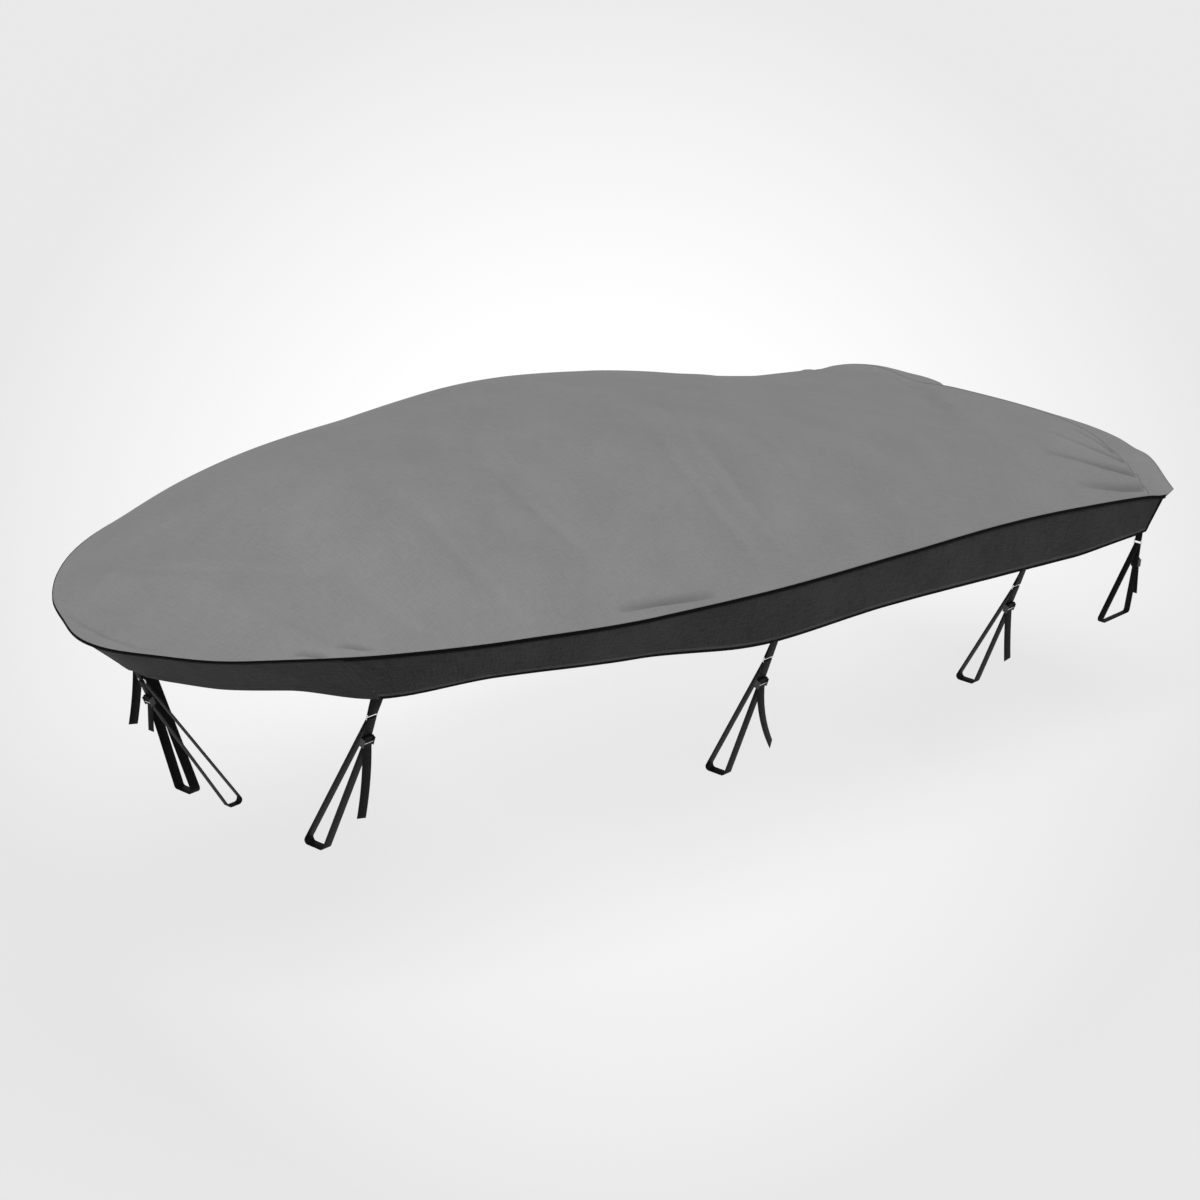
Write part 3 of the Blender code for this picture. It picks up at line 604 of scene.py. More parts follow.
def gather(root, inward):
    """Tiny puckers where cloth is gathered into the seam, fading away from it."""
    along = GATHERS * root * abs(root)
    wave = sin(2 * pi * along + 4.0 * wander(2.0 * along))
    deep = GATHER_DEEP * max(0.5 + wander(0.6 * along, 7.0), 0.0)
    return deep * wave * exp(-inward / GATHER_REACH) * min(inward / GATHER_START, 1.0)


def on_cloth(points, crest, side=None):
    """UV places for points of the top: the plan, let out by their fall from the crest."""
    return [(p.x, p.y + copysign(DRAPE * (crest - p.z), p.y if side is None else side)) for p in points]


afts = [BOW_POLE]
for end, step in RIB_STEPS:
    afts += between(afts[-1], end, round((end - afts[-1]) / (step * MM)))[1:]
afts += [STERN_SEAM - before for before in (FELL_WIDE + FELL_STEP, FELL_WIDE, FELL_WIDE / 2, EASE)]
half = between(0.0, sqrt(BOW_POLE), RIBS_BOW) + [sqrt(aft) for aft in afts[1:]]
rows, places = [], []
for root in both_sides(half):
    rim = seam_plan(root)
    spine = max(rim.x, BOW_POLE)
    reach = (rim - Vector((spine, 0.0, 0.0))).length
    fell = FELL_HIGH if root * root > STERN_SEAM - FELL_WIDE - EASE else 0.0
    row = [seam_point(root, 0.0, lip) for lip in (TOP_LIP, TOP_LIP / 2, RIM_ROUND)]
    row.append(seam_point(root, -0.3 * RIM_ROUND, 0.3 * RIM_ROUND))
    for share in between(1.0, 0.0, RIB_POINTS):
        share = sin(pi / 2 * share) ** RIB_POWER * (1.0 - RIM_ROUND / reach)
        aft, across = spine + (rim.x - spine) * share, rim.y * share
        up_here = top_up(aft, across, fine=True) + gather(root, reach * (1 - share)) + fell
        row.append(Vector((aft, across, up_here)))
    rows.append(row)
    places.append(on_cloth(row, top_up(spine, 0.0), root))
top = sheet("top_cloth", rows, places, grey_canvas, "top_panel", puckered=True)
cloth_area(top)
print("top: faces", len(top.data.polygons), "area", round(cloth_area(top), 3))

# %% [markdown]
# ## Stern panel
# A short panel closes the top aft. It is joined to the wide one by a felled seam over the whole arch,
# stitched twice, and turns down over the skirts on three sides. At the corners nothing holds it down,
# so it stands out there in two small points, as darted cloth does.

# %% Stern panel
STERN_ROWS, ARCH_POINTS = 14, 150
CORNER_LIP_END, STERN_LIP = 0.05, 10 * MM
TUCK_DEEP, TUCK_IN = 0.7 * MM, 2.5


def arch_shares(steps):
    """Places across the stern, closer together towards its corners."""
    return [sin(pi / 2 * share) for share in between(-1.0, 1.0, steps)]


rows, places = [], []
arch = arch_shares(ARCH_POINTS)
tucked = [(STERN_SEAM - 0.8 * FELL_WIDE, TUCK_DEEP), (STERN_SEAM + EASE, TUCK_DEEP)]
for aft, drop in tucked + [(aft, 0.0) for aft in between(STERN_SEAM + FELL_STEP, LENGTH, STERN_ROWS)]:
    root, half_beam = sqrt(aft), at_aft("half_beam", aft) - TUCK_IN * drop
    lip = STERN_LIP * min(1.0, (LENGTH - aft) / CORNER_LIP_END)
    port_lip, starboard_lip = (seam_point(side * root, -TUCK_IN * drop, lip) for side in (-1, 1))
    middle = [Vector((aft, x * half_beam, top_up(aft, x * half_beam, fine=True) - drop)) for x in arch]
    rows.append([port_lip] + middle + [starboard_lip])
    places.append(on_cloth(rows[-1], top_up(STERN_SEAM, 0.0)))
last_row, last_places = rows[-1], places[-1]
for depth in (0.25, 1.0):
    lips = [0.0] + [depth * LIP * corner_fade(share) for share in arch] + [0.0]
    rows.append([point - Vector((0.0, 0.0, lip)) for point, lip in zip(last_row, lips)])
    places.append([(u + lip, v) for (u, v), lip in zip(last_places, lips)])
rows, places = ([row[::-1] for row in table] for table in (rows, places))
stern = sheet("stern_cloth", rows, places, grey_canvas, "stern_panel")
cloth_area(stern)
print("stern panel: area", round(cloth_area(stern), 3))

# %% [markdown]
# ## Skirt
# The skirt is four lengths of charcoal cloth that hang from the seam and tuck in below it. It is drawn
# flat where a tie pulls on it, with short creases fanning up from the tab, and falls in soft waves
# between the ties. Its hem is turned up once and stitched, so its lowest 22 mm are double. The doubled
# cloth is painted paler, a painted highlight, and its lowest edge dark, a painted shade. A length is
# swept along the seam: each outline goes down the outer face, round the hem and back up the inner one.

# %% Length along the seam and the waves of the skirt
HEM_HIGH, EDGE_HIGH, HEM_BEND, HEM_PUFF = 22 * MM, 12 * MM, 0.6 * MM, 0.9 * MM
SKIRT_THICK, HEM_THICK = 1.2 * MM, 2.0 * MM
WAVE_HIGH, WAVE_REACH, WAVE_POWER = 2.6 * MM, 0.11, 1.3
FAN_HIGH, FAN_WIDE, FAN_REACH, FAN_SLOPE, FAN_START = 1.6 * MM, 0.011, 0.09, 0.55, 0.012
HELD_LEVEL, HELD_BESIDE = 0.15, 0.03
TIE_AFTS = (0.0, 0.535, 2.008, 3.437)

seam_roots = np.linspace(-ROOTS[-1], ROOTS[-1], 2001)
seam_steps = [(seam_plan(b) - seam_plan(a)).length for a, b in zip(seam_roots, seam_roots[1:])]
seam_lengths = np.concatenate([[0.0], np.cumsum(seam_steps)])


def seam_length(root):
    """Length along the seam in plan, from the port corner of the stern."""
    return float(np.interp(root, seam_roots, seam_lengths))


def root_at(length):
    return float(np.interp(length, seam_lengths, seam_roots))


TIE_PLACES = [seam_length(side * sqrt(aft)) for aft in TIE_AFTS for side in (-1, 1)]


def skirt_wave(place, level, depth):
    """How far the skirt stands out at a length along the seam and a level down."""
    beside, above = min(abs(place - tie) for tie in TIE_PLACES), depth * (1 - level)
    free = 1 - exp(-((beside / WAVE_REACH) ** 2))
    swell = wander(2.3 * place, 0.4 * level, 3.0) + 0.4 * wander(7.0 * place, level, 9.0)
    fan = exp(-(((beside - FAN_SLOPE * above - FAN_START) / FAN_WIDE) ** 2)) * exp(-above / FAN_REACH)
    held = min(1.0, level / HELD_LEVEL) * min(1.0, beside / HELD_BESIDE)
    return WAVE_HIGH * swell * free * level**WAVE_POWER + FAN_HIGH * fan * held


def skirt_outline(point_at, place, depth):
    """The outline of the skirt at one place, and its places on the cloth."""
    hem, edge, bend = (1.0 - high / depth for high in (HEM_HIGH, EDGE_HIGH, HEM_BEND))
    levels = between(0.0, hem, 12) + between(hem, edge, 3)[1:] + [0.5 * (1 + edge), bend]
    outline = [(level, 0.0) for level in levels] + [(1.0, -0.5 * HEM_THICK)]
    outline += [(level, -HEM_THICK) for level in (bend, 0.5 * (1 + hem), hem + 0.01)]
    outline += [(level, -SKIRT_THICK) for level in [hem - 0.01] + between(hem - 0.06, 0.0, 8)]
    loop, places = [], []
    for level, back in outline:
        doubled = min(max((level - hem) / (1 - hem), 0.0), 1.0)
        puff = HEM_PUFF * sin(pi * doubled) if back == 0 else 0.0
        loop.append(point_at(level, skirt_wave(place, level, depth) + back + puff))
        places.append((place, level * depth))
    return loop, places + places[:1]


print("seam from corner to corner of the stern:", round(float(seam_lengths[-1]), 3), "m")

# %% Skirt lengths
STATION, END_STATIONS = 10 * MM, (0.0, 1 * MM, 5 * MM)
TURN_IN, TURN_REACH = 0.9 * MM, 2.5 * MM
SEAM_PLACES = [seam_length(side * sqrt(BOW_SKIRT_TOP)) for side in (-1, 1)]
SKIRT_POINTS = len(skirt_outline(lambda level, out: level, 0.0, 0.2)[0])
# Painted on the side lengths: the doubled hem faces paler as a highlight, the lowest edge faces and the
# stern-end stations dark as shade.
HIGHLIGHT_FACES, SHADE_EDGE_FACES, SHADE_EDGE_STATIONS = range(12, 15), range(15, 19), 4


def stations(start_aft, end_aft):
    """Roots on the starboard side, evenly spaced along the seam, half a gap inside the cut ends."""
    start, end = (seam_length(sqrt(aft)) for aft in (start_aft + GAP / 2, end_aft - GAP / 2))
    inner = between(start, end, round((end - start) / STATION))[1:-1]
    places = [start + near for near in END_STATIONS] + inner + [end - near for near in END_STATIONS[::-1]]
    return [root_at(length) for length in places]


def turned_in(place):
    """How far the cut ends of two lengths turn in where they meet, which leaves a groove there."""
    nearest = min(abs(place - seam) for seam in SEAM_PLACES)
    return TURN_IN * exp(-((nearest / TURN_REACH) ** 2))


def paint_hem_shade_and_highlight(piece, loop_count, at_end):
    """Paints the lowest edge of the hem, and the upright edge at the stern, dark in the tape's black, as
    painted shade. The doubled cloth above that edge is painted paler, as a painted highlight."""
    faces = piece.data.polygons
    for finish in (tape, hem_highlight_canvas):
        piece.data.materials.append(finish)
    for i in range(loop_count - 1):
        for j in HIGHLIGHT_FACES:
            faces[i * SKIRT_POINTS + j].material_index = 2
        aft_end = i > loop_count - 2 - SHADE_EDGE_STATIONS if at_end else i < SHADE_EDGE_STATIONS
        for j in range(SKIRT_POINTS) if aft_end else SHADE_EDGE_FACES:
            faces[i * SKIRT_POINTS + j].material_index = 1


def skirt_length(name, outlines, node):
    """A length of skirt through pairs of an outline and its places on the cloth."""
    loops, places = zip(*outlines)
    piece = sweep(name, loops, places, charcoal_canvas, node)
    print(name, "area", round(cloth_area(piece), 3), "faces", len(piece.data.polygons))
    return piece


def side_outline(root):
    place = seam_length(root)

    def point_at(level, out):
        return skirt_point(slanted(root, level), level, out - turned_in(place))

    return skirt_outline(point_at, place, at_aft("skirt", root * root))


bow_roots = both_sides([0.0] + stations(0.0, BOW_SKIRT_TOP)[1:])
side_roots = stations(BOW_SKIRT_TOP, SKIRT_END)
port_roots = [-root for root in reversed(side_roots)]
for name, roots, node in (
    ("bow_skirt_cloth", bow_roots, "bow_skirt"),
    ("port_skirt_cloth", port_roots, "side_skirt_port"),
    ("starboard_skirt_cloth", side_roots, "side_skirt_starboard"),
):
    piece = skirt_length(name, [side_outline(root) for root in roots], node)
    if roots is not bow_roots:
        # Painted shade on the hem edge, painted highlight on the doubled hem.
        paint_hem_shade_and_highlight(piece, len(roots), roots[-1] > 0)
    run = seam_length(roots[-1]) - seam_length(roots[0])
    cloth_area(piece)

# %% Skirt across the stern
STERN_PLACE, STERN_MOST_OUT = 20.0, 1.5 * MM
shares_across = between(-1.0, 1.0, 120)


def stern_outline(share):
    top, hem = transom_point(share, 0.0), transom_point(share, 1.0)

    def point_at(level, out):
        return transom_point(share, level, min(out, STERN_MOST_OUT), fine=True)

    return skirt_outline(point_at, STERN_PLACE + hem.y, (top - hem).length)


piece = skirt_length("stern_skirt_cloth", [stern_outline(share) for share in shares_across], "transom_skirt")
cloth_area(piece)

# %% [markdown]
# ## Behind the slanted seams
# Two lengths of skirt meet in a slanted seam on each side of the bow. Behind it their raw edges lie open
# as a strip two fingers wide, which also stops light from showing through the seam. It ends above the
# hem, where the tab of a tie is sewn on.

# %% Strip behind each slanted seam
STRIP_WIDE, STRIP_THICK, STRIP_ENDS_ABOVE = 18 * MM, 0.8 * MM, 34 * MM
STRIP_BACK = SKIRT_THICK + TURN_IN + 0.2 * MM
SIDE_NAMES = {-1: "port", 1: "starboard"}
depth = at_aft("skirt", BOW_SKIRT_TOP)

for (side, side_name), middle in zip(SIDE_NAMES.items(), SEAM_PLACES):
    rows, places = [], []
    for level in between(0.0, 1.0 - STRIP_ENDS_ABOVE / depth, 10):
        beside = between(-0.5 * STRIP_WIDE, 0.5 * STRIP_WIDE, 6)
        roots = [slanted(root_at(middle + side * away), level) for away in beside]
        rows.append([skirt_point(root, level, -STRIP_BACK) for root in roots][::side])
        places.append([(middle + away, level * depth) for away in beside])
    strip = sheet(f"{side_name}_seam_strip", rows, places, charcoal_canvas, "", STRIP_THICK)
    area = cloth_area(strip)
    print(strip.name, "area", round(area * 1e4, 1), "square cm")

# %% [markdown]
# ## Binding
# Tape covers the raw edges of the seam. It is folded round them and stitched through near its lower
# edge. Seen close it is a soft D in section, not a flat strip, and its face and lower edge waver a little
# along its length. It is swept along the seam like the skirt.

# %% Binding
BINDING_WIDE, BOW_BINDING_WIDE = 14 * MM, 10 * MM
FACE = GAP + TAPE
BINDINGS = (
    ("bow_tape", bow_roots, BOW_BINDING_WIDE, "bow_binding"),
    ("port_tape", port_roots, BINDING_WIDE, "side_binding_port"),
    ("starboard_tape", side_roots, BINDING_WIDE, "side_binding_starboard"),
)

for name, roots, wide, node in BINDINGS:
    loops, places = [], []
    for root in roots:
        along = seam_length(root)
        face = FACE + 0.25 * MM * wander(30.0 * along, 0.0, 2.0)
        low = wide + 0.4 * MM * wander(9.0 * along, 5.0)
        # a soft D, as points of (out, down)
        outline = [(GAP, 0.2 * MM), (0.6 * face, -0.3 * MM), (0.92 * face, 0.5 * MM)]
        outline += [(1.12 * face, 0.25 * wide), (1.15 * face, 0.5 * wide), (face, 0.75 * wide)]
        outline += [(0.9 * face, low - 0.6 * MM), (0.55 * face, low), (GAP, low - 0.3 * MM)]
        outline.append((GAP, 0.5 * wide))
        loops.append([seam_point(root, out, down) for out, down in outline])
        places.append([(along, 1.3 * down) for _, down in outline + outline[:1]])
    sweep(name, loops, places, tape, node)
    print(name, round(seam_length(roots[-1]) - seam_length(roots[0]), 3), "m long")

# %% [markdown]
# ## Ties: where each one hangs
# Nine ties hold the cover down. A tie hangs from a tab behind the hem and is pulled in under the cover,
# so it has a frame of its own: down its fall, out from its face and along the hem. A tab starts along
# the hem, which is curved in plan, and comes round to the plane of its strap.

# %% Frames of the ties
Tie = namedtuple("Tie", "name edge at lean swing ring buckle reach hold tail drift twist wide seat")
TIES = (
    Tie("bow", "bow", 0.000, 25.0, 7.0, 0.042, 0.118, 0.64, 0.060, 0.08, 0.000, 0.0, 0.025, 0.0009),
    Tie("front", "side", 0.535, 18.0, 4.3, 0.070, 0.158, 0.60, 0.083, 0.22, -0.026, 0.0, 0.038, 0.0006),
    Tie("middle", "side", 2.008, 19.0, 0.5, 0.070, 0.162, 0.54, 0.082, 0.21, 0.060, -25.0, 0.038, 0.0004),
    Tie("rear", "side", 3.437, 20.0, 0.5, 0.072, 0.160, 0.50, 0.080, 0.18, 0.010, 0.0, 0.038, 0.0005),
    Tie("stern", "stern", 0.780, 8.0, 2.0, 0.042, 0.118, 0.30, 0.180, 0.10, 0.000, 0.0, 0.025, 0.0005),
)
TAB_HIDDEN, TAB_BEND = 0.028, 0.010
TAB_LEVELS, MIDDLE_LEVEL = (1.0, 0.8), 0.5

coarse = between(0.0, sqrt(BOW_POLE), 6) + between(sqrt(BOW_POLE), sqrt(BOW_SKIRT_TOP), 2)[1:]
coarse += [sqrt(aft) for aft in between(BOW_SKIRT_TOP, STERN_SEAM, 44)[1:]]


def skirt_edge(level):
    """A line round the skirt at this level, as the facets of its solid make it."""
    share = (level - MIDDLE_LEVEL) / (1.0 - MIDDLE_LEVEL)
    line = []
    for root in both_sides(coarse):
        upper, lower = (skirt_point(slanted(root, edge), edge) for edge in (MIDDLE_LEVEL, 1.0))
        line.append(upper.lerp(lower, share))
    return line


class TieFrame:
    """Where a tie hangs: down its fall from the hem, out from its face and along the hem."""

    def __init__(self, tie, side):
        down = Vector((0.0, 0.0, -1.0))
        if tie.edge == "stern":
            outward = hem_outward = Vector((1.0, 0.0, 0.0))
            place = side * tie.at / transom_point(1.0, 1.0).y
            hem, above = (transom_point(place, level) for level in TAB_LEVELS)
            edges = [[transom_point(share, level) for share in arch_shares(24)] for level in TAB_LEVELS]
        else:
            root = side * sqrt(tie.at)
            outward, hem_outward = Vector((0.0 if side else -1.0, side, 0.0)), seam_outward(root)
            hem, above = (skirt_point(root, level) for level in TAB_LEVELS)
            edges = [skirt_edge(level) for level in TAB_LEVELS]
        self.name = f"{tie.name}_{SIDE_NAMES[side]}" if side else tie.name
        self.lean = radians(tie.lean)
        self.along, self.hem_along = outward.cross(down), hem_outward.cross(down)
        self.fall = cos(self.lean) * down - sin(self.lean) * outward
        self.face = cos(self.lean) * outward + sin(self.lean) * down
        self.up_skirt = (above - hem).normalized()
        self.behind = self.up_skirt.cross(self.hem_along).normalized()
        self.outer_hem = hem.copy()
        back = max(self.behind_skirt(hem, tie.wide, edge) for edge in edges)
        self.hem = hem + (back + CLOTH + tie.seat + WEBBING / 2) * self.behind

    def behind_skirt(self, hem, wide, edge):
        """How far a line round the skirt comes back past a flat tab that touches it at the hem."""
        worst = 0.0
        for start, end in zip(edge, edge[1:]):
            for side in (-wide / 2, wide / 2):
                share = (side - (start - hem).dot(self.hem_along)) / (end - start).dot(self.hem_along)
                away = start + share * (end - start) - hem
                if 0 <= share <= 1 and away.length < 2 * TAB_HIDDEN:
                    worst = max(worst, away.dot(self.behind))
        return worst

    def at(self, fall, face, along=0.0):
        """A place in this frame."""
        return self.hem + fall * self.fall + face * self.face + along * self.along


hung = [(tie, TieFrame(tie, side)) for tie in TIES for side in ((0,) if tie.edge == "bow" else SIDE_NAMES)]
print("ties:", ", ".join(place.name for _, place in hung))

# %% [markdown]
# ## Webbing
# A strap is a path with a width: down from the ring, round the foot, up through the buckle and over.
# The path is drawn as a side view, in fall and face, with rounded corners. Webbing keeps its selvedges
# firm and slightly round, so the section is a flat oval of eight points.

# %% Webbing along a path
RING_HIGH, RING_BEND, RING_WIRE = 0.016, 0.004, 0.002
BUCKLE_HIGH, BUCKLE_WALL = 0.028, 0.0024
SEWN_END, SEWN_BEND = 0.014, 0.008
BAR, FOLD_OVER, TAIL_TURN, FOOT_BEND = 0.0015, 0.005, 0.004, 0.012
WRAP, LEAF = RING_WIRE + EASE + WEBBING / 2, WEBBING + EASE
REAR_WALL, MIDDLE = -(WEBBING / 2 + EASE + BUCKLE_WALL / 2), LEAF + GAP
SEWN, FRONT_WALL, FRONT = 2 * REAR_WALL, MIDDLE - REAR_WALL, MIDDLE - 2 * REAR_WALL
BAR_OUT = FRONT + WEBBING / 2 + GAP + BAR
SELVEDGE, LONGEST_STEP = 1.0 * MM, 15 * MM


def half_turn(centre, radius, start, end, steps=12):
    """Points on an arc, as (fall, face), between two angles in degrees from straight down."""
    angles = between(radians(start), radians(end), steps)
    return [(centre[0] + radius * cos(angle), centre[1] + radius * sin(angle)) for angle in angles]


def rounded(corners, steps=8):
    """A path through corners of (fall, face, bend radius), with an arc at each corner between its ends."""
    path = []
    for before, corner, after in zip(corners, corners[1:], corners[2:]):
        here = Vector(corner[:2])
        arriving = (here - Vector(before[:2])).normalized()
        leaving = (Vector(after[:2]) - here).normalized()
        turn = arriving.angle_signed(leaving)
        cut = here - corner[2] * tan(abs(turn) / 2) * arriving
        centre = cut + corner[2] * Vector((-arriving.y, arriving.x)) * copysign(1.0, -turn)
        for share in between(0.0, 1.0, steps):
            path.append(centre + Matrix.Rotation(-turn * share, 2) @ (cut - centre))
    return path


def filled_in(path, turns):
    """The same path with points no further apart than LONGEST_STEP, and its turns with it."""
    full, full_turns = [], []
    path = [Vector((*point, 0.0)[:3]) for point in path]
    for start, end, turn, next_turn in zip(path, path[1:], turns, turns[1:]):
        steps = max(1, ceil((end - start).length / LONGEST_STEP))
        full += [start.lerp(end, i / steps) for i in range(steps)]
        full_turns += [turn + (next_turn - turn) * i / steps for i in range(steps)]
    return full + path[-1:], full_turns + turns[-1:]


def ribbon(piece, place, path, wide, hem_turn=0.0, turns=()):
    """Webbing along a path of (fall, face) or (fall, face, along). Above hem_turn it comes round to lie
    along the hem, and turns twist its last points."""
    path, turns = filled_in(path, [0.0] * (len(path) - len(turns)) + list(turns))
    points = [place.at(*step) for step in path]
    half_wide, flat = wide / 2, wide / 2 - SELVEDGE
    upper = [(x, WEBBING / 2) for x in (-flat, 0.0, flat)]
    outline = upper + [(half_wide, 0.0)] + [(-x, -y) for x, y in upper] + [(-half_wide, 0.0)]
    loops, places, gone = [], [], 0.0
    for i, point in enumerate(points):
        run = (points[min(i + 1, len(points) - 1)] - points[max(i - 1, 0)]).normalized()
        share = min(max(path[i][0] / hem_turn, 0.0), 1.0) if hem_turn else 1.0
        along = place.hem_along.lerp(place.along, share)
        across = (along - run * along.dot(run)).normalized()
        across.rotate(Quaternion(run, radians(turns[i])))
        out = run.cross(across)
        gone += (point - points[i - 1]).length if i else 0.0
        loops.append([point + x * across + y * out for x, y in outline])
        places.append([(gone, x + half_wide) for x, _ in outline + outline[:1]])
    name = f"{place.name}_{piece}"
    return sweep(f"{name}_webbing", loops, places, webbing, name), gone


print("webbing", WEBBING / MM, "mm thick")

# %% Tabs and straps
for tie, place in hung:
    up_leaf = TAB_HIDDEN * place.up_skirt
    leaf_top = Vector([up_leaf.dot(axis) for axis in (place.fall, place.face, place.along)])
    wire = tie.ring - RING_HIGH / 2
    path = [leaf_top, (0.0, 0.0), (TAB_BEND, 0.0)] + half_turn((wire, -WRAP), WRAP, 90.0, -90.0)
    path += [(TAB_BEND, -LEAF - GAP), (0.0, -LEAF - GAP / 2), leaf_top - Vector((0.0, LEAF, 0.0))]
    made, length = ribbon("tab", place, path, tie.wide, hem_turn=wire)

    wire = tie.ring + RING_HIGH / 2
    buckle_top, buckle_foot = tie.buckle - BUCKLE_HIGH / 2, tie.buckle + BUCKLE_HIGH / 2
    foot = Vector((cos(radians(tie.swing)), -sin(radians(tie.swing)))) * tie.reach
    inward = Vector((sin(place.lean), -cos(place.lean)))
    fold = (FRONT - MIDDLE) / 2
    path = [(buckle_top - SEWN_END, -LEAF), (buckle_top - SEWN_BEND, -LEAF), (buckle_top, SEWN)]
    path += half_turn((buckle_foot, SEWN / 2), -SEWN / 2, -90.0, 90.0)
    path += half_turn((wire, -WRAP), WRAP, 90.0, 270.0)
    path += rounded([
        (wire, -2 * WRAP, 0.0),
        (*(foot + tie.hold * inward), FOOT_BEND),
        (*foot, FOOT_BEND),
        (buckle_foot, MIDDLE, FOOT_BEND),
        (buckle_top - FOLD_OVER, MIDDLE, fold),
        (buckle_top - FOLD_OVER, FRONT, fold),
        (buckle_foot + TAIL_TURN, FRONT, 0.0),
    ])
    aft = copysign(tie.drift, tie.drift * place.along.x)
    shares = between(0.0, 1.0, 12)
    for share in shares:
        fall = buckle_foot + TAIL_TURN + tie.tail * share * cos(place.lean)
        path.append((fall, FRONT + tie.tail * share * sin(place.lean), aft * share * share))
    turns = [tie.twist * share * copysign(1.0, place.along.x) for share in shares]
    made, length = ribbon("strap", place, path, tie.wide, turns=turns)
    print(place.name, "strap", round(length, 3), "m")

# %% [markdown]
# ## Rings and bars
# A ring is one length of wire, bent to a flat loop and welded, and a bar is a short rod. Both are drawn
# as round wire along a path. The ring's corners are true bends, its weld stands a little proud in the
# middle of the long side, and the ends of the rod are broken, so that they catch the light as a line.

# %% Rings and bars
WIRE_SIDES = 14
WELD_PROUD, WELD_LONG = 0.12, 2.0 * MM
ROD_ENDS = ((0.0, 0.7), (0.1 * MM, 0.85), (0.4 * MM, 1.0))
QUARTERS = ((1, 1), (-1, 1), (-1, -1), (1, -1))


def wire(name, points, radii, flat, joined, node):
    """Round wire through points that lie in a plane with this normal."""
    loops, last = [], len(points) - 1
    for i, (point, radius) in enumerate(zip(points, radii)):
        before = points[i - 1] if joined or i else point
        after = points[(i + 1) % len(points)] if joined or i < last else point
        side = (after - before).cross(flat).normalized()
        angles = [2 * pi * j / WIRE_SIDES for j in range(WIRE_SIDES)]
        loops.append([point + radius * (cos(angle) * side + sin(angle) * flat) for angle in angles])
    return sweep(name, loops, None, steel, node, joined)


for tie, place in hung:
    half_wide, half_high = tie.wide / 2 + RING_WIRE + EASE, RING_HIGH / 2
    outline = []
    for quarter, (side, level) in enumerate(QUARTERS):
        for share in between(0.0, 1.0, 7):
            angle = pi / 2 * (quarter + share)
            along = side * (half_wide - RING_BEND) + RING_BEND * cos(angle)
            outline.append((level * (half_high - RING_BEND) + RING_BEND * sin(angle), along))
        if quarter == 0:
            outline += [(half_high, along * share) for share in between(0.8, -0.8, 24)]
    points = [place.at(tie.ring + fall, -WRAP, along) for fall, along in outline]
    radii = []
    for fall, along in outline:
        near_weld = exp(-((along / WELD_LONG) ** 2)) if fall >= half_high - MERGE else 0.0
        radii.append(RING_WIRE * (1 + WELD_PROUD * near_weld))
    wire(f"{place.name}_ring_wire", points, radii, place.face, True, f"{place.name}_ring")

    half_long = tie.wide / 2 + EASE - GAP
    shape = [(near - half_long, size) for near, size in ROD_ENDS]
    shape += [(-along, size) for along, size in reversed(shape)]
    points = [place.at(tie.buckle, BAR_OUT, along) for along, _ in shape]
    radii = [BAR * size for _, size in shape]
    wire(f"{place.name}_bar_rod", points, radii, place.face, False, f"{place.name}_buckle_bar")
print("rings and bars:", 2 * len(hung))

# %% [markdown]
# ## Buckles
# A buckle is a moulded frame with one slot for two layers of the strap, and two ears in front of it for
# the bar. Its plan is a drawn outline with a hole, given its height by extrusion. No moulded edge is
# sharp, so every edge is rounded by less than half a millimetre, which shows as a thin light line.

# %% Moulded frames
MOULD_ROUND, SHARP, FLAT = 0.4 * MM, radians(40.0), 0.01

for tie, place in hung:
    half_slot, half_wall = tie.wide / 2 + EASE, BUCKLE_WALL / 2
    half_wide, ear = half_slot + BUCKLE_WALL, BAR_OUT + BAR + EASE
    outside = [(half_wide, REAR_WALL - half_wall), (half_wide, ear), (half_slot, ear)]
    outside.append((half_slot, FRONT_WALL + half_wall))
    slot = [(half_slot, REAR_WALL + half_wall), (half_slot, FRONT_WALL - half_wall)]
    drawing = bpy.data.curves.new("drawing", "CURVE")
    drawing.dimensions, drawing.fill_mode, drawing.extrude = "2D", "BOTH", BUCKLE_HIGH / 2
    for right_half in (outside, slot):
        corners = right_half + [(-along, out) for along, out in reversed(right_half)]
        line = drawing.splines.new("POLY")
        line.points.add(len(corners) - 1)
        for corner, (along, out) in zip(line.points, corners):
            corner.co = (along, out, 0.0, 1.0)
        line.use_cyclic_u = True
    drawn = bpy.data.objects.new("drawing", drawing)
    mesh = bmesh.new()
    mesh.from_mesh(drawn.to_mesh())
    drawn.to_mesh_clear()
    bmesh.ops.remove_doubles(mesh, verts=mesh.verts, dist=MERGE)
    bmesh.ops.dissolve_limit(mesh, angle_limit=FLAT, verts=mesh.verts, edges=mesh.edges)
    sharp = [edge for edge in mesh.edges if len(edge.link_faces) == 2 and edge.calc_face_angle() > SHARP]
    bmesh.ops.bevel(mesh, geom=sharp, offset=MOULD_ROUND, segments=2, profile=0.5, affect="EDGES")
    turn = Matrix((place.along, place.face, -place.fall)).transposed().to_4x4()
    mesh.transform(Matrix.Translation(place.at(tie.buckle, 0.0) - ORIGIN) @ turn)
    bmesh.ops.recalc_face_normals(mesh, faces=mesh.faces)
    name = f"{place.name}_buckle"
    piece = finish_piece(f"{name}_frame", mesh, nylon, name)
    for polygon in piece.data.polygons:
        polygon.use_smooth = polygon.area < (4 * MOULD_ROUND) ** 2
    bpy.data.objects.remove(drawn)
    bpy.data.curves.remove(drawing)
print("buckles:", len(hung))

# %% [markdown]
# ## Stitches
# Rows of thread hold it all together: one along the binding, one along the hem, two along the felled seam
# of the stern, one on each side of the slanted seams, and a crossed box where a tab is sewn on. A stitch
# is a short bead that dips into the cloth at both ends. The real ones are 3 mm long and thinner than
# these, which are drawn coarse enough to show from a few metres.

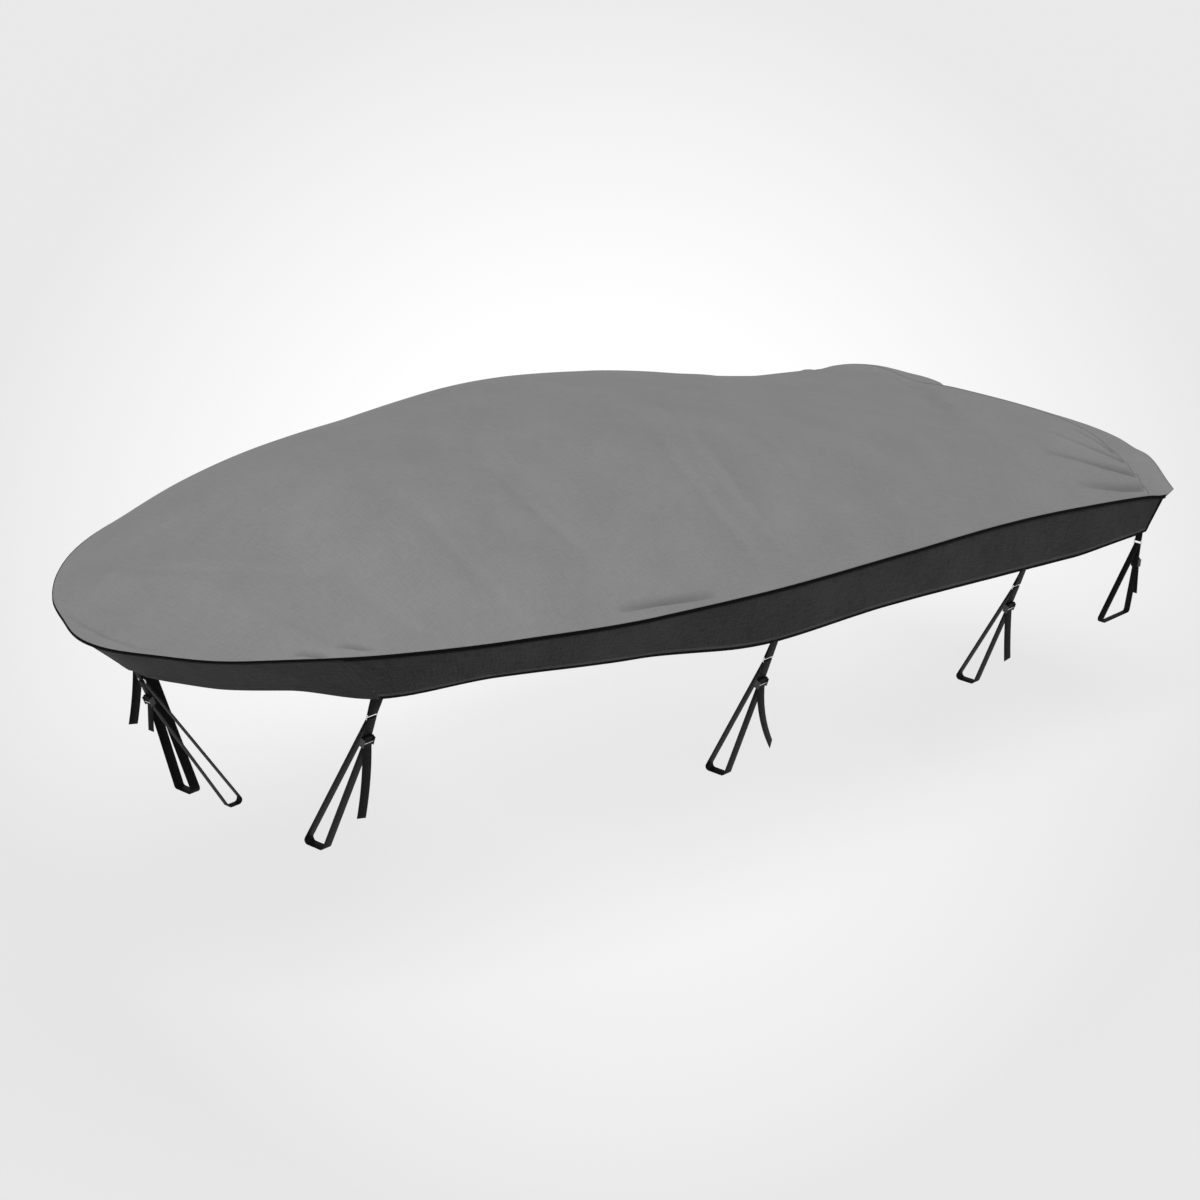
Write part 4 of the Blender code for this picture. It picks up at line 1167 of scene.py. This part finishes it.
# %% Rows of stitches
STITCH_LONG, STITCH_STEP, STITCH_THICK = 4.6 * MM, 6.4 * MM, 0.9 * MM
BEAD = ((0.0, 0.5, -0.5), (0.2, 1.0, 0.1), (0.8, 1.0, 0.1), (1.0, 0.5, -0.5))
BEAD_SIDES = 4
BEAD_FACES = [(3, 2, 1, 0), (12, 13, 14, 15)]
for first in range(0, BEAD_SIDES * (len(BEAD) - 1), BEAD_SIDES):
    for j in range(BEAD_SIDES):
        a, b = first + j, first + (j + 1) % BEAD_SIDES
        BEAD_FACES.append((a, b, b + BEAD_SIDES, a + BEAD_SIDES))


def stitches(name, paths):
    """Rows of beads along paths of (point, outward)."""
    corners = []
    for path in paths:
        points, outs = (np.array([tuple(vector) for vector in column]) for column in zip(*path))
        points = points - np.array(ORIGIN)
        gone = np.concatenate([[0.0], np.cumsum(np.linalg.norm(np.diff(points, axis=0), axis=1))])
        spare = (gone[-1] + STITCH_STEP - STITCH_LONG) % STITCH_STEP
        starts = np.arange(spare / 2, gone[-1] - STITCH_LONG + 1e-9, STITCH_STEP)

        def line_at(values, places):
            return np.stack([np.interp(places, gone, values[:, axis]) for axis in range(3)], axis=-1)

        run = line_at(points, starts + STITCH_LONG) - line_at(points, starts)
        run /= np.linalg.norm(run, axis=1, keepdims=True)
        side = np.cross(run, line_at(outs, starts + STITCH_LONG / 2))
        side /= np.linalg.norm(side, axis=1, keepdims=True)
        out = np.cross(side, run)
        rings = []
        for share, size, lift in BEAD:
            centre = line_at(points, starts + share * STITCH_LONG) + lift * STITCH_THICK * out
            for j in range(BEAD_SIDES):
                angle = 2 * pi * (j + 0.5) / BEAD_SIDES
                rings.append(centre + size * STITCH_THICK / 2 * (cos(angle) * side + sin(angle) * out))
        corners += np.stack(rings, axis=1).reshape(-1, 3).tolist()
    bases = range(0, len(corners), BEAD_SIDES * len(BEAD))
    faces = [[base + corner for corner in face] for base in bases for face in BEAD_FACES]
    data = bpy.data.meshes.new(name)
    data.from_pydata(corners, [], faces)
    mesh = bmesh.new()
    mesh.from_mesh(data)
    bpy.data.meshes.remove(data)
    bmesh.ops.recalc_face_normals(mesh, faces=mesh.faces)
    finish_piece(name, mesh, thread, "")
    print(name, len(bases), "stitches")


# %% Stitches along the seam and the hem
ABOVE_EDGE, HEM_ROW, ON_CLOTH = 2.4 * MM, 19 * MM, 0.15 * MM
STERN_DEEP = 0.41


def tape_row(roots, wide):
    """The row near the lower edge of the binding."""
    out = 0.97 * FACE + ON_CLOTH
    return [(seam_point(root, out, wide - ABOVE_EDGE), seam_outward(root)) for root in roots]


def skirt_row(root, level):
    """A point on the skirt's outer face, waves and all, with its outward direction."""
    place = seam_length(root)
    out = skirt_wave(place, level, at_aft("skirt", root * root)) - turned_in(place) + ON_CLOTH
    return skirt_point(slanted(root, level), level, out), seam_outward(root)


def hem_row(roots):
    return [skirt_row(root, 1.0 - HEM_ROW / at_aft("skirt", root * root)) for root in roots]


stitches("binding_stitches", [tape_row(roots, wide) for _, roots, wide, _ in BINDINGS])
level, aft_out = 1.0 - HEM_ROW / STERN_DEEP, Vector((1.0, 0.0, 0.0))
stern_hem = [(transom_point(share, level, ON_CLOTH, fine=True), aft_out) for share in shares_across]
stitches("hem_stitches", [hem_row(roots) for _, roots, _, _ in BINDINGS] + [stern_hem])

# %% Stitches of the seams and the tabs
FELL_ROWS, BESIDE_SEAM, SLOPE_STEP = (2 * MM, 8 * MM), 4 * MM, 5 * MM
BOX_LOW, BOX_HIGH, BOX_NARROWER, ON_TAB = 4 * MM, 16 * MM, 8 * MM, 0.6 * MM
BOX_LINES = ((0, 1), (1, 2), (2, 3), (3, 0), (0, 2), (1, 3))


def arch_row(before_seam):
    """A row over the arch on the felled seam, this far forward of its edge."""
    aft, row, step = STERN_SEAM - before_seam, [], SLOPE_STEP
    for share in arch[2:-2]:
        across = share * at_aft("half_beam", aft)
        here = top_up(aft, across, fine=True)
        slope_aft = (here - top_up(aft - step, across, fine=True)) / step
        rise = top_up(aft, across + step, fine=True) - top_up(aft, across - step, fine=True)
        outward = Vector((-slope_aft, -rise / (2 * step), 1.0)).normalized()
        row.append((Vector((aft, across, here + FELL_HIGH + ON_CLOTH)), outward))
    return row


stitches("stern_seam_stitches", [arch_row(before) for before in FELL_ROWS])
slanted_rows = []
for middle in SEAM_PLACES:
    for beside in (-BESIDE_SEAM, BESIDE_SEAM):
        slanted_rows.append([skirt_row(root_at(middle + beside), level) for level in between(0.07, 0.99, 40)])
stitches("slanted_seam_stitches", slanted_rows)
box_rows = []
for tie, place in hung:
    side = (tie.wide - BOX_NARROWER) / 2
    low, high = ([Vector((along, up_tab)) for along in (-side, side)] for up_tab in (BOX_LOW, BOX_HIGH))
    corners = low + high[::-1]
    for a, b in BOX_LINES:
        line = []
        for share in between(0.0, 1.0, 4):
            along, up_tab = corners[a].lerp(corners[b], share)
            point = place.outer_hem + along * place.hem_along + up_tab * place.up_skirt
            line.append((point - ON_TAB * place.behind, -place.behind))
        box_rows.append(line)
stitches("tab_stitches", box_rows)

# %% [markdown]
# ## Floor
# The photograph has no floor, only white that turns a pale grey towards its corners. A wide sheet of
# studio paper gives the same: it lies where the wheels that carry the cover would stand, and a round pool
# of light is painted on it by its place. A point of the floor is pushed along its line to the eye until it
# is one metre ahead, and its distance from the middle of the picture sets the painted shade. The paper
# also glows by emission, a painted glow with no lamp behind it, so the shadow that the cover throws on
# it stays faint.

# %% Floor of studio paper
FLOOR_UP, FLOOR_HALF = -1.64, 60.0
POOL_PX, RIM_PX = 240, 640
GLOW = 0.70  # share of the paper's white that it gives off by emission, a painted glow

floor_mesh = bpy.data.meshes.new("floor")
corners = [(side * FLOOR_HALF, level * FLOOR_HALF, FLOOR_UP) for side, level in QUARTERS]
floor_mesh.from_pydata(corners, [], [(0, 1, 2, 3)])
place_object("floor", floor_mesh)
paper, shader, node = start_material("pale studio paper")
from_eye = node("VectorMath", {0: node("TexCoord", {}, "Object"), 1: EYE}, operation="SUBTRACT")
depth = node("VectorMath", {0: from_eye, 1: ahead}, "Value", operation="DOT_PRODUCT")
shrink = node("Math", {0: 1.0, 1: depth}, operation="DIVIDE")
near = node("VectorMath", {0: from_eye, "Scale": shrink}, operation="SCALE")
aside = node("VectorMath", {0: near, 1: ahead}, operation="SUBTRACT")
radius = node("VectorMath", {0: aside}, "Value", operation="LENGTH")
rim = node("MapRange", {"Value": radius, "From Min": POOL_PX / FOCAL_PX, "From Max": RIM_PX / FOCAL_PX})
# The painted pool of light: white in the middle of the picture, pale grey towards its corners.
shade = node("Mix", {0: rim, 6: linear("ffffff"), 7: linear("e6e6e6")}, 2, data_type="RGBA")
# Part of the paper's white is a painted glow, given off by emission.
fill_in(shader, {
    "Base Color": node("VectorMath", {0: shade, "Scale": 1 - GLOW}, operation="SCALE"),
    "Emission Color": shade,
    "Emission Strength": GLOW,
    "Roughness": 0.95,
    "Specular IOR Level": 0.1,
})
floor_mesh.materials.append(paper)
print("floor at", FLOOR_UP, "m")

# %% [markdown]
# ## Light
# Two lights do it. A white room all round gives most of it, so that nothing falls into black. The rest
# comes from a very wide lamp above the port bow. It falls slantwise on the top, and it is what makes one
# flank of every fold light and the other dark.

# %% Room and lamp
ROOM, LAMP, LAMP_ANGLE = 0.60, 1.95, 40.0
LAMP_FROM = Vector((-0.54, -0.42, 0.82))

world = bpy.data.worlds.new("studio")
world.use_nodes = True
fill_in(world.node_tree.nodes["Background"], {"Color": linear("ffffff"), "Strength": ROOM})
bpy.context.scene.world = world
lamp = bpy.data.lights.new("lamp", "SUN")
lamp.energy, lamp.angle = LAMP, radians(LAMP_ANGLE)
place_object("lamp", lamp).rotation_euler = (-LAMP_FROM).to_track_quat("-Z", "Y").to_euler()
bpy.context.scene.view_settings.view_transform = "Standard"
print("light on a level sheet:", round(ROOM + LAMP / pi * LAMP_FROM.normalized().z, 2))
